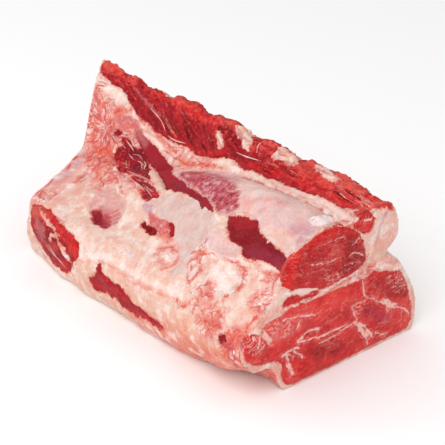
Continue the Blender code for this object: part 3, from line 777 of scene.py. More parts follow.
seams = [  # pale lines between and inside the loin's muscles: half width and chain
    # between the loin's muscles
    (0.35, [(37, 84), (37, 78), (38, 72), (40, 64), (48, 61), (56, 54), (64, 50)]),
    (2.4, [(64, 51), (70, 48), (75, 43)]), (2.8, [(72, 45), (77, 41), (81, 39)]),
    (1.2, [(70, 45), (71, 37)]), (0.55, [(80, 39), (94, 31), (103, 22), (106, 16)]),
    (0.35, [(23, 60), (33, 60), (40, 61)]), (0.3, [(24, 59), (33, 41)]),
    (0.45, [(33, 40), (20, 41), (-5, 37), (-17, 37)]),
    (0.5, [(19, 43), (8, 44.5), (-16, 43.5), (-26, 46), (-43, 48)]),
    (0.9, [(-17, 53), (-30, 55), (-35, 53), (-38, 51), (-43, 50)]),
    (0.9, [(-42, 42), (-46, 44), (-59, 43.5), (-63, 41)]), (0.45, [(-63, 81), (-31, 74), (-23, 70)]),
    (0.35, [(-40, 72), (-43, 71), (-45, 67), (-46, 63)]), (0.6, [(-59, 43), (-53, 28)]),
    (0.45, [(-58, 42), (-53, 39), (-49, 35)]),
    # thick seams at the corners
    (0.6, [(-49, 41), (-40, 34), (-37, 29)]), (1.6, [(-56, 31), (-49, 17)]), (2.6, [(-92, 84), (-76, 62)]),
    (0.6, [(-96, 80), (-96, 72)]), (0.7, [(-89, 75), (-90, 68), (-92, 62)]),
    (0.6, [(-83, 63), (-85, 59), (-90, 58)]), (1.5, [(30, 39), (38, 31)]),
    (1.0, [(35, 37), (42, 31), (48, 23), (52, 16)]), (1.9, [(36, 30), (46, 19)]),
    (0.35, [(40, 24), (46, 14), (46, 9)]), (0.55, [(56, 19), (63, 14), (69, 11)]),
    (-0.2, [(-33, 127), (10, 120)]),
    # in the fillet
    (-0.3, [(-5, 135), (14, 134), (29, 131)]), (-0.1, [(-20, 107), (-1, 105), (20, 104)]),
    (-0.3, [(-40, 139), (-20, 143)]), (0.8, [(35, 148), (39, 147), (43, 147)]),
    (-0.3, [(-50, 122), (-12, 114)]), (-0.1, [(6, 112), (22, 110), (32, 106)]),
    (0.05, [(-22, 142.5), (-18, 142), (2, 142), (9, 141)]),
    (0.3, [(19, 128), (23, 130), (26, 133), (32, 134.5)]),
    (0.35, [(16, 119), (21, 120), (25, 119), (30, 115), (34, 113)]), (0.1, [(-31, 126), (-16, 122)]),
    (0.15, [(-11, 121), (0, 121)]),
]
netAreas = [  # areas with a fine net of marbling
    [(-84, 79), (-82, 83), (-66, 86), (-54, 78), (-51, 66), (-47, 61), (-63, 59), (-76, 66)],
    [(-101, 77), (-88, 76), (-82, 64), (-86, 56), (-98, 56), (-104, 66)],
    [(60, 84), (90, 74), (98, 54), (82, 50)],
    [(-15, 112), (3, 106), (11, 100), (4, 98), (-11, 97), (-16, 103)],
]
nearLeanTones = [
    ("steak", 6, 0.8, [(-54, 112), (-50, 138), (-20, 152), (14, 147), (34, 128), (38, 108), (20, 98),
        (-20, 98)]),
    ("scarlet", 5, 0.8, [(-62, 108), (-60, 138), (-44, 146), (-44, 134), (-52, 118), (-48, 108)]),
    ("scarlet", 4, 0.6, [(-44, 144), (-20, 156), (16, 152), (10, 146), (-18, 148)]),
    ("deep", 7, 0.45, [(10, 140), (30, 132), (40, 106), (20, 98), (0, 100)]),
    ("deep", 6, 0.5, [(38, 86), (78, 76), (101, 45), (88, 44), (42, 72)]),
    ("plum", 6, 0.7, [(34, 56), (43, 57), (86, 24), (66, 21), (36, 44)]),
    ("deep", 7, 0.6, [(-34, 39), (5, 36), (15, 22), (6, 13), (-29, 24)]),
    ("scarlet", 7, 0.5, [(-30, 84), (24, 82), (20, 68), (-28, 76)]),
    ("scarlet", 7, 0.5, [(-50, 30), (-34, 36), (-34, 12), (-50, 12)]),
    ("scarlet", 6, 0.4, [(10, 20), (40, 16), (50, 8), (0, 8)]), ("raw", 3, 0.3, netAreas[0]),
    ("plum", 3, 0.5, [(-86, 70), (-81, 68), (-79, 64), (-83, 63)]),
    ("rose", 6, 0.25, [(-78, 84), (-26, 71), (-38, 62), (-62, 60), (-80, 68)]),
    # painted highlight: light red over the loin's upper side
    ("highlightRed", 8, 0.4, [(-98, 78), (-60, 86), (0, 86), (24, 76), (-50, 56), (-84, 54)]),
]
farLean = [
    [(-88, 20), (-90, 50), (-80, 62), (-50, 64), (-16, 74), (20, 84), (60, 92), (88, 74), (98, 44),
        (90, 14), (50, 7), (0, 6), (-50, 7), (-80, 10)],
    [(12, 118), (24, 150), (34, 160), (46, 150), (60, 124), (40, 108), (20, 106)],
    [(-118, 12), (-118, 62), (-98, 72), (-86, 60), (-84, 16)],
]
farFatTones = [
    ("white", 5, 0.6, [(-90, 66), (-50, 72), (60, 104), (60, 96), (-50, 66)]),
    ("pink", 5, 0.5, [(0, 92), (12, 120), (30, 165), (50, 158), (70, 122), (60, 104)]),
]
farFatLines = [("white", 2.0, 1.5, 0.7, [(-66, 66), (-20, 78), (20, 88), (66, 98)])]
farSeams = [  # half width and chain
    (0.4, [(-84, 40), (-50, 44), (-20, 62), (20, 74), (60, 88)]),
    (0.3, [(-40, 46), (-20, 30), (10, 24), (40, 30), (80, 24)]), (0.3, [(10, 24), (6, 10)]),
    (0.3, [(24, 140), (40, 130), (52, 136)]),
]
farLeanTones = [
    ("deep", 8, 0.5, [(-80, 44), (-40, 46), (-20, 60), (-30, 30), (-70, 24)]),
    ("scarlet", 8, 0.5, [(0, 70), (50, 84), (80, 70), (40, 50), (0, 50)]),
    ("plum", 8, 0.4, [(20, 24), (70, 30), (90, 20), (60, 10)]),
]


# finishes
class Finish:  # a material put together from noise and from what is drawn on the mesh
    def __init__(self, name):
        self.material = bpy.data.materials.new(name)
        self.material.use_nodes = True
        self.tree = self.material.node_tree
        self.shader = self.tree.nodes["Principled BSDF"]
        self.places = self.tree.nodes.new("ShaderNodeTexCoord").outputs["Object"]

    def feed(self, socket, value):
        if isinstance(value, bpy.types.NodeSocket):
            self.tree.links.new(value, socket)
        else:
            socket.default_value = value

    def node(self, kind, *values, **settings):
        node = self.tree.nodes.new(kind)
        for key, value in settings.items():
            setattr(node, key, value)
        for socket, value in zip(node.inputs, values):
            self.feed(socket, value)
        return node

    def drawn(self, name, kind="Vector"):
        return self.node("ShaderNodeAttribute", attribute_name=name).outputs[kind]

    def apart(self, name):
        return self.node("ShaderNodeSeparateXYZ", self.drawn(name)).outputs[:3]

    def math(self, operation, *values):
        return self.node("ShaderNodeMath", *values, operation=operation).outputs[0]

    def times(self, first, second):
        return self.math("MULTIPLY", first, second)

    def plus(self, first, second):
        return self.math("ADD", first, second)

    def noise(self, size, vector=None, detail=2.0, rough=0.55, warp=0.0, out="Fac"):  # size in mm
        node = self.node("ShaderNodeTexNoise", vector or self.places)
        for key, value in (("Scale", 1000 / size), ("Detail", detail), ("Roughness", rough),
                           ("Distortion", warp)):
            node.inputs[key].default_value = value
        return node.outputs[out]

    def cells(self, size, vector):
        node = self.node("ShaderNodeTexVoronoi", vector, feature="DISTANCE_TO_EDGE")
        node.inputs["Scale"].default_value = 1000 / size
        return node.outputs["Distance"]

    def ramp(self, value, low, high, start=0.0, end=1.0):
        return self.node("ShaderNodeMapRange", value, low, high, start, end,
                         interpolation_type="SMOOTHSTEP").outputs[0]

    def mix(self, share, first, second, how="MIX"):
        node = self.node("ShaderNodeMix", data_type="RGBA", blend_type=how, clamp_factor=True)
        for index, value in ((0, share), (6, first), (7, second)):
            self.feed(node.inputs[index], value)
        return node.outputs[2]

    def layered(self, base, rows):  # rows: tone or darkening, pattern, from, to, strength and where
        for tint, pattern, low, high, most, within in rows:
            share = self.times(self.ramp(pattern, low, high, 0.0, most), within)
            if isinstance(tint, str):
                base = self.mix(share, base, colour(tint))
            else:
                base = self.mix(share, base, (*tint, 1.0), "MULTIPLY")
        return base

    def finish(self, tint, roughness, height):
        self.feed(self.shader.inputs["Base Color"], tint)
        self.feed(self.shader.inputs["Roughness"], roughness)
        bump = self.node("ShaderNodeBump")
        bump.inputs["Distance"].default_value = mm
        self.feed(bump.inputs["Height"], height)
        self.feed(self.shader.inputs["Normal"], bump.outputs[0])
        for key, value in damp.items():
            self.shader.inputs[key].default_value = value
        return self.material


def colour(name):
    return (*tones[name], 1.0)


damp = {
    "Subsurface Weight": 0.12, "Subsurface Radius": (1.0, 0.3, 0.18), "Subsurface Scale": 0.003,
    "Specular IOR Level": 0.09, "Coat Weight": 0.02, "Coat Roughness": 0.2,
}


def surfaceFinish():  # fat, films and lean on the outside, chosen by what is drawn on the mesh
    f = Finish("meatSurface")
    depth, veins, mottled = f.apart("edge")
    film, veiny, streaky = f.apart("soft")
    wide, _, gloss = f.apart("folds")
    grain = f.drawn("grain")
    coarse, fine = f.noise(3.6), f.noise(1.2)
    ragged = f.plus(f.times(f.plus(coarse, -0.5), 3.4), f.times(f.plus(fine, -0.5), 1.8))
    ragged = f.times(ragged, f.math("MULTIPLY_ADD", streaky, 0.8, 1.0))
    lean = f.ramp(f.plus(depth, ragged), -0.25, 0.25)

    fibres, bundles = f.noise(2.0, grain, detail=4, rough=0.6), f.noise(7.0, grain, detail=3)
    grains = f.noise(3.0, detail=4, rough=0.65)
    red = f.layered(f.drawn("leanTint", "Color"), [  # fibres along the grain, dark and lighter bundles
        ((0.5, 0.3, 0.42), bundles, 0.48, 0.62, 1.0, streaky),
        ("ember", bundles, 0.46, 0.34, 0.6, streaky),
        ("blotch", fibres, 0.58, 0.72, 0.8, streaky),
        ("raw", grains, 0.58, 0.68, 0.9, streaky),
        ((0.55, 0.4, 0.46), fibres, 0.47, 0.3, 0.5, 1.0),
        ((0.5, 0.34, 0.5), grains, 0.46, 0.36, 1.0, streaky),
    ])

    mottle, flecks = f.noise(14.0, detail=4, rough=0.6), f.noise(3.2, detail=4, rough=0.65)
    patches = f.noise(15.0, detail=5, rough=0.6, warp=0.5)
    plain = f.math("SUBTRACT", 1.0, film)
    dull = f.times(film, f.math("SUBTRACT", 1.0, gloss))
    lively = f.times(plain, f.ramp(veiny, 0.1, 0.6, 0.35, 1.0))
    pale = f.layered(f.drawn("fatTint", "Color"), [  # pink and white clouds, then small flecks
        ((0.97, 0.74, 0.68), mottle, 0.44, 0.6, 0.8, plain),
        ("white", mottle, 0.47, 0.34, 0.7, plain),
        ("veil", mottle, 0.5, 0.66, 0.4, dull),
        ("white", mottle, 0.46, 0.34, 0.5, film),
        ("pink", flecks, 0.54, 0.64, 0.4, dull),
        ("white", flecks, 0.46, 0.38, 0.4, dull),
        ("white", patches, 0.535, 0.555, 0.45, lively),
        ("flush", patches, 0.45, 0.43, 0.4, lively),
        ("flush", flecks, 0.55, 0.65, 0.65, lively),
        ("white", flecks, 0.45, 0.34, 0.7, lively),
        ("raw", f.noise(9.0, detail=3), 0.38, 0.6, 1.0, veiny),
    ])
    veinAndCreaseShade = f.mix(f.ramp(f.noise(11.0, detail=2), 0.44, 0.56), colour("orange"), colour("clot"))
    fineFold = f.plus(f.noise(6.0, detail=4, rough=0.6, warp=0.6), -0.5)
    jitter = f.times(f.plus(flecks, -0.5), 0.45)
    for fold, least, most in ((wide, 0.02, 0.24), (fineFold, -0.005, 0.05)):  # red tissue along the folds' creases, with painted crease shade
        reach = f.math("MULTIPLY_ADD", veiny, most, least)
        gap = f.plus(f.math("ABSOLUTE", fold), f.times(jitter, 3.0 * most))
        line = f.ramp(gap, f.times(reach, 0.2), reach, 1.0, 0.0)
        pale = f.mix(f.times(line, f.ramp(veiny, 0.05, 0.8, 0.25, 0.75)), pale, veinAndCreaseShade)
    drawnVein = f.ramp(f.plus(veins, f.times(ragged, 0.6)), -0.3, 1.0, 0.8, 0.0)
    pale = f.mix(f.times(drawnVein, f.ramp(f.noise(8.0, detail=2), 0.42, 0.56)), pale, colour("orange"))
    clouds = f.noise(6.5, detail=6, rough=0.75, warp=0.4)
    streaks, bands = f.noise(2.6, grain, detail=3), f.noise(8.0, grain, detail=2)
    pale = f.layered(pale, [  # lean that shows through thin skin, and strands in torn fat
        ("clot", clouds, 0.4, 0.52, 0.85, mottled),
        ("wine", clouds, 0.54, 0.62, 0.8, mottled),
        ("plum", bands, 0.5, 0.62, 0.85, streaky),
        ("blotch", streaks, 0.5, 0.62, 0.85, streaky),
        ("white", streaks, 0.48, 0.38, 0.55, streaky),
    ])

    both = f.mix(lean, pale, red)
    rim = f.ramp(f.math("ABSOLUTE", f.plus(depth, ragged)), 0.2, 1.1, 0.45, 0.0)
    both = f.mix(rim, both, colour("blotch"))
    roughness = f.mix(lean, f.ramp(mottle, 0.3, 0.7, 0.34, 0.6), f.ramp(fibres, 0.3, 0.7, 0.3, 0.5))
    roughness = f.mix(gloss, roughness, (0.16, 0.16, 0.16, 1))
    lump = f.times(f.math("MULTIPLY_ADD", flecks, 0.6, f.times(fine, 0.3)), plain)
    strands = f.math("MULTIPLY_ADD", fibres, 0.8, f.times(fine, 0.25))
    return f.finish(both, roughness, f.mix(lean, lump, strands))


def cutFinish():  # lean cut across its fibres: marbling, seams and small bundles
    f = Finish("cutLean")
    depth, seam, _ = f.apart("edge")
    _, net, _ = f.apart("soft")
    grain = f.drawn("grain")
    wobble = f.noise(2.4, detail=3)
    ragged = f.times(f.plus(wobble, -0.5), 2.0)
    clouds = f.noise(16.0, detail=3, rough=0.6)
    flecks = f.noise(1.7, grain, detail=4, rough=0.65)
    grit = f.noise(1.9, detail=3, rough=0.7)
    red = f.layered(f.drawn("leanTint", "Color"), [
        ((0.66, 0.4, 0.44), clouds, 0.46, 0.6, 0.5, 1.0),
        ("blotch", clouds, 0.46, 0.34, 0.4, 1.0),
        ("raw", flecks, 0.55, 0.7, 0.5, 1.0),
        ((0.6, 0.36, 0.42), flecks, 0.48, 0.34, 0.65, 1.0),
        ("raw", grit, 0.56, 0.66, 0.3, 1.0),
        ((0.6, 0.3, 0.4), grit, 0.44, 0.36, 0.35, 1.0),
    ])
    swirl = f.noise(8.333, rough=0.5, out="Color")
    bent = f.node("ShaderNodeVectorMath", swirl, (0.003,) * 3, grain, operation="MULTIPLY_ADD").outputs[0]
    loops = f.ramp(f.cells(6.5, bent), 0.01, 0.07, 1.0, 0.0)
    small = f.ramp(f.cells(3.0, bent), 0.02, 0.2, 1.0, 0.0)
    patchy = f.times(f.ramp(f.noise(15.0, detail=2), 0.48, 0.6), f.ramp(wobble, 0.44, 0.54))
    broken = f.ramp(f.noise(3.4, detail=3), 0.42, 0.56)
    marble = f.times(f.times(loops, patchy), f.ramp(net, 0.0, 0.4, 0.45, 1.0))
    marble = f.math("MAXIMUM", marble, f.times(f.times(small, net), broken))
    line = f.ramp(f.plus(seam, ragged), -0.1, 0.75, 1.0, 0.0)
    line = f.times(line, f.ramp(f.noise(6.0, detail=2), 0.36, 0.48, 0.4, 1.0))
    fat = f.math("MAXIMUM", f.times(marble, 0.65), line)
    both = f.mix(fat, red, colour("marble"))
    both = f.mix(f.ramp(f.plus(depth, ragged), 0.3, 1.4, 0.3, 0.0), both, colour("blotch"))
    height = f.math("MULTIPLY_ADD", flecks, 0.5, f.times(f.noise(0.9), 0.2))
    return f.finish(both, f.ramp(flecks, 0.3, 0.7, 0.3, 0.5), f.math("MULTIPLY_ADD", fat, 0.2, height))


# building the pieces
layers = ("fatTint", "leanTint", "edge", "soft", "folds", "grain")


def dress(piece, material, drawn):  # hands what is drawn to the mesh, for the material to read
    for name in (name for name in layers if name in drawn):
        values = drawn[name]
        if name.endswith("Tint"):
            layer = piece.data.attributes.new(name, "FLOAT_COLOR", "POINT")
            values = np.column_stack([values, np.ones(len(values))])
            layer.data.foreach_set("color", values.astype(np.float32).ravel())
        else:
            layer = piece.data.attributes.new(name, "FLOAT_VECTOR", "POINT")
            layer.data.foreach_set("vector", values.astype(np.float32).ravel())
    piece.data.materials.append(material)
    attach(piece, "root")


def fillHoles(bm):
    bmesh.ops.holes_fill(bm, edges=[e for e in bm.edges if e.is_boundary], sides=0)


def makeBody(material):
    bm = bmesh.new()
    mesh = remeshed(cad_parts["shortloin"], body["voxel"])
    bm.from_mesh(mesh)
    bpy.data.meshes.remove(mesh)
    bm.normal_update()
    flat = [f for f in bm.faces if f.normal.z < -0.99 and all(v.co.z < 0.0003 for v in f.verts)]
    bmesh.ops.delete(bm, geom=flat, context="FACES")  # the flat underside becomes one face
    fillHoles(bm)
    piece = toObject("meatBody", bm)
    places, normals = readMesh(piece.data)
    drawn = drawBody(places, normals)
    outward = normals * np.column_stack([np.ones((len(places), 2)), ease(places[:, 2], 0, body["floorFade"])])
    places = places + outward * bodyRelief(places, normals, drawn)[:, None]
    piece.data.vertices.foreach_set("co", (places * mm).astype(np.float32).ravel())
    dress(piece, material, drawn)
    return piece


def makePad(name, outline, lay, spec, shape):
    # a slab with the outline, laid on a surface: lay gives a place and the way out for each spot,
    # shape the height at each spot from its depth inside the outline
    outline = rounded(outline)
    low, high = outline.min(0) - 1, outline.max(0) + 1
    step = spec["step"]
    columns, rows = (int(n) for n in np.ceil((high - low) / step))
    bm = bmesh.new()
    bmesh.ops.create_grid(bm, x_segments=columns, y_segments=rows, size=0.5)
    spots = low + (np.array([(v.co.x, v.co.y) for v in bm.verts]) + 0.5) * (high - low)

    def depthAt(spots):
        wander = np.column_stack([spots, np.full(len(spots), 7.0)])
        return depthIn(spots, outline) + spec["wander"] * ripple(wander, spec["wanderSize"], 31, 3)

    def moveTo(verts, places):
        for vert, place in zip(verts, places * mm):
            vert.co = place

    def drop(gone):
        nonlocal spots
        bmesh.ops.delete(bm, geom=[v for v, out in zip(bm.verts, gone) if out], context="VERTS")
        spots = spots[~gone]

    drop(depthAt(spots) < -0.45 * step)  # what is outside the outline
    drop(np.array([not v.link_faces for v in bm.verts]))  # what is left without a face
    rim = np.array([v.is_boundary for v in bm.verts])
    for _ in range(2):  # pulls the rim onto the outline
        here = depthAt(spots[rim])
        slope = np.stack([depthAt(spots[rim] + aside) - here for aside in ((0.2, 0), (0, 0.2))], axis=1) / 0.2
        slope /= np.maximum(np.linalg.norm(slope, axis=1), 0.5)[:, None]
        spots[rim] -= np.clip(here, -0.7 * step, 0.7 * step)[:, None] * slope
    places, outward = lay(spots)
    tops = bm.verts[:]
    if "thickness" in spec:  # the underside follows the meat, and only the top is shaped
        moveTo(tops, places)
        bm.normal_update()
        bmesh.ops.solidify(bm, geom=bm.faces[:], thickness=spec["thickness"] * mm)
    moveTo(tops, places + outward * shape(spots, np.maximum(depthAt(spots), 0))[:, None])
    if "backPlane" in spec:
        made = bmesh.ops.extrude_edge_only(bm, edges=[e for e in bm.edges if e.is_boundary])["geom"]
        for vert in (g for g in made if isinstance(g, bmesh.types.BMVert)):
            vert.co = spec["backPlane"](vert.co)
        fillHoles(bm)
    bmesh.ops.recalc_face_normals(bm, faces=bm.faces)
    return toObject(name, bm)


def layOn(skin, chart, spread, lift):  # spots of a chart to places on the meat, found by rays into it
    into = Vector({"side": intoSide, "near": (-1, 0, 0), "far": (1, 0, 0)}[chart])
    trust = 0.8 if chart == "side" else 5.0  # how much the way out keeps to the chart's own direction
    last, limit = {"side": (0.30, 0.50), "near": (0.085, 0.10), "far": (0.12, 0.20)}[chart]
    reaches = [(0, 0), (spread, 0), (-spread, 0), (0, spread), (0, -spread)]

    def startOf(a, b):
        if chart == "side":
            return Vector((min(a, 213.0), *(b * upSide[1:] - 300 * intoSide[1:])))
        return Vector((-300 * into.x, a, b))

    def lay(spots):
        nonlocal last
        places, ways = [], []
        for a, b in spots.tolist():
            gaps, way = [], -trust * into
            for da, db in reaches:
                place, normal, _, gap = skin.ray_cast(startOf(a + da, b + db) * mm, into)
                if place is not None and gap < limit:
                    gaps.append(gap)
                    way = way + normal
            last = sum(gaps) / len(gaps) if gaps else last
            start = startOf(a, b)
            start.x = a if chart == "side" else start.x
            places.append(start + into * last / mm)
            ways.append(way.normalized())
        return np.array(places) + np.array(ways) * lift, np.array(ways)
    return lay


def makeFilm(name, outline, skin, material, spec):  # a film, flap or lump lying on the meat
    def shape(spots, depth):
        flat = np.column_stack([spots, np.zeros(len(spots))])
        swell = spec["rise"] * (1 - np.exp(-depth / spec["edge"])) - spec["tuck"] * np.exp(-depth / 1.5)
        return swell + spec["lumps"] * ripple(flat, spec["lumpSize"], 61, 3) * ease(depth, 0, 2)

    piece = makePad(name, outline, layOn(skin, spec["chart"], spec["spread"], spec["lift"]), spec, shape)
    places, normals = readMesh(piece.data)
    drawn = drawBody(places, normals)
    spots = places[:, 1:] if spec["chart"] == "near" else np.stack([places[:, 0], places @ upSide], axis=1)
    # a white rim round the edge: the torn film's pale edge together with painted highlight
    paleRimAndGlint = 1 - ease(depthIn(spots, rounded(outline)), 0, 2.0)
    drawn["fatTint"] = stain(drawn["fatTint"], np.ones(len(places)), spec["tone"], spec["cover"])
    drawn["fatTint"] = stain(drawn["fatTint"], paleRimAndGlint, "white", spec["paleRimAndGlint"])
    drawn["edge"][:, 0] = -99.0
    drawn["edge"][:, 2] *= spec["mottled"]
    drawn["folds"][:, 2] = spec["gloss"]
    drawn["soft"] *= (0, spec["veiny"], 0)
    drawn["soft"][:, 0] = spec["film"]
    dress(piece, material, drawn)


def makeStrands(name, strands, lay, material, spec):  # thin tapered strands: tone, half width, chain
    bm = bmesh.new()
    mark = bm.verts.layers.int.new("strand")
    for kind, (_, width, chain) in enumerate(strands, 1):
        path = rounded(chain, closed=False)
        places, ways = lay(path)
        ahead = np.gradient(places, axis=0)
        beside = np.cross(ways, ahead)
        beside /= np.linalg.norm(beside, axis=1)[:, None]
        runs = np.concatenate([[0], np.cumsum(np.linalg.norm(np.diff(places, axis=0), axis=1))])
        rings = max(4, int(runs[-1] / spec["ring"]))
        tube = bmesh.ops.create_cone(bm, cap_ends=True, segments=6, radius1=1, radius2=1, depth=1)["verts"]
        sides = {e for v in tube for e in v.link_edges if abs(e.verts[0].co.z - e.verts[1].co.z) > 0.5}
        bmesh.ops.subdivide_edges(bm, edges=list(sides), cuts=rings)
        for vert in [v for v in bm.verts if not v[mark]]:
            share = vert.co.z + 0.5
            at = share * runs[-1]
            place, way, across = (np.array([np.interp(at, runs, values[:, i]) for i in range(3)])
                                  for values in (places, ways, beside))
            swell = math.sqrt(max(math.sin(math.pi * min(max(share, 0.05), 0.95)), 0.1))
            swell *= 1 + 0.35 * math.sin(at / 3.1 + kind) * math.sin(at / 7.3 + 2 * kind)
            place += across * vert.co.x * width * swell + way * vert.co.y * width * spec["flat"] * swell
            vert.co = place * mm
            vert[mark] = kind
    kinds = [v[mark] - 1 for v in bm.verts]
    piece = toObject(name, bm)
    places, normals = readMesh(piece.data)
    drawn = drawBody(places, normals)
    drawn["edge"][:] = (9 if spec["lean"] else -99, 99, 0)
    drawn["soft"][:] = (0.6, 0.1, float(spec["lean"]))
    tint = np.array([tones[strands[kind][0]] for kind in kinds])
    drawn["leanTint" if spec["lean"] else "fatTint"] = tint
    dress(piece, material, drawn)


def strayStrands(chance, many, zone, spec):  # short strands scattered inside a zone, along its grain
    made, outline = [], rounded(zone)
    low, high = np.maximum(outline.min(0), (-190, -70)), np.minimum(outline.max(0), (206, 158))
    while len(made) < many:
        x, v = chance.uniform(low[0], high[0]), chance.uniform(low[1], high[1])
        slope = spec["slope"] * (1 - float(ease(x, 0, 80))) + chance.uniform(-1, 1) * spec["stray"]
        long, wide = chance.uniform(*spec["long"]), chance.uniform(*spec["wide"])
        bend = chance.uniform(-0.12, 0.12)
        chain = [(x + t * long, v - (slope + bend * t) * t * long + chance.uniform(-0.5, 0.5))
                 for t in (-0.5, -0.2, 0.1, 0.5)]
        spots = np.array(chain)
        clear = depthIn(spots, outline).min() > 2.5 and deepest(spots, fatOnLean).max() < -1
        if clear and (spots[:, 1] < 149 + 0.037 * spots[:, 0]).all():
            made.append((chance.choice(spec["tones"]), wide, chain))
    return made


wallStrands = {
    "slope": 0.5, "stray": 0.1, "long": (10, 30), "wide": (0.7, 1.7),
    "tones": ["steak", "lean", "lean", "deep", "raw"],
}
paleShort = {
    "slope": 0.15, "stray": 0.35, "long": (8, 24), "wide": (0.35, 0.9),
    "tones": ["raw", "rose", "pink", "rose", "clot"],
}
paleLong = {
    "slope": 0.26, "stray": 0.15, "long": (10, 36), "wide": (0.3, 0.6),
    "tones": ["marble", "rose", "raw", "clot"],
}
paleEnd = {
    "slope": 0.35, "stray": 0.25, "long": (6, 20), "wide": (0.3, 0.7),
    "tones": ["marble", "raw", "pink", "rose"],
}
wallEnd = [(150, 150), (168, 156), (214, 158), (216, 143), (196, 139), (172, 141)]


def fibreRuns(places, turn, squeeze):  # coordinates that run along and across the fibres, in metres
    turn = np.radians(turn)
    y, z = places[:, 1], places[:, 2]
    along = y * np.cos(turn) + z * np.sin(turn)
    beside = z * np.cos(turn) - y * np.sin(turn)
    return np.column_stack([along * squeeze, beside, places[:, 0]]) * mm


def makeCutMuscle(name, outline, end, skin, material, spec):  # stands a little proud of its cut face
    chains = seams if end == "near" else farSeams

    def shape(spots, depth):
        flat = np.column_stack([spots, np.zeros(len(spots))])
        gap = nearestChain(spots, chains)
        swell = spec["rise"] * (1 - np.exp(-depth / spec["edge"])) - spec["sink"] * np.exp(-depth / 0.8)
        swell += spec["lobe"] * (1 - np.exp(-np.clip(gap, 0, 20) / 8))
        swell -= 0.7 * np.exp(-(np.maximum(gap, 0) / 1.3) ** 2) * (depth > 1.5)
        return swell + 0.32 * ripple(flat, 6, 41, 3) + 0.15 * ripple(flat, 2.2, 43)

    def backPlane(co):  # the muscle's flat back, inside the meat
        return Vector(((211.5 if end == "near" else farPlane(co.y / mm) + 2.5) * mm, co.y, co.z))

    pad = {"step": spec["step"], "wander": 0.6, "wanderSize": 4.0, "backPlane": backPlane}
    piece = makePad(name, outline, layOn(skin, end, 2.0, 0.3), pad, shape)
    places, _ = readMesh(piece.data)
    spots = places[:, 1:]
    wandering = spots + 1.1 * np.stack([ripple(places, 7, seed, 3) for seed in (51, 53)], axis=1)
    lean = np.tile(tones["fresh"], (len(places), 1))
    lean = paintAreas(lean, wandering, nearLeanTones if end == "near" else farLeanTones)
    depth = depthIn(spots, rounded(outline))
    gap = nearestChain(wandering, chains)
    net = ease(deepest(spots, netAreas), -3, 3) if end == "near" else np.full(len(places), 0.15)
    net = np.maximum(net, spec.get("net", 0.6) * (1 - ease(gap, 0.5, 5)))
    zero = np.zeros(len(places))
    dress(piece, material, {
        "leanTint": lean,
        "edge": np.stack([depth, gap, zero], axis=1),
        "soft": np.stack([zero, net, zero], axis=1),
        "grain": fibreRuns(places, spec["turn"], 0.35),
    })


cutMuscles = {
    "fillet": ("near", filletOutline, {"step": 0.9, "rise": 1.3, "edge": 3.0, "sink": 1.2, "lobe": 0.3,
        "turn": -12, "net": 0.25}),
    "loin": ("near", loinOutline, {"step": 0.95, "rise": 0.9, "edge": 2.5, "sink": 1.2, "lobe": 0.9,
        "turn": 24}),
    "sideMuscle": ("near", smallOutline, {"step": 0.8, "rise": 1.0, "edge": 2.0, "sink": 1.0, "lobe": 0.0,
        "turn": 60}),
    "farLoin": ("far", farLean[0], {"step": 1.2, "rise": 1.0, "edge": 3.0, "sink": 1.0, "lobe": 0.9,
        "turn": -20}),
    "farFlank": ("far", farLean[1], {"step": 1.0, "rise": 1.0, "edge": 2.0, "sink": 1.0, "lobe": 0.4,
        "turn": 70}),
}

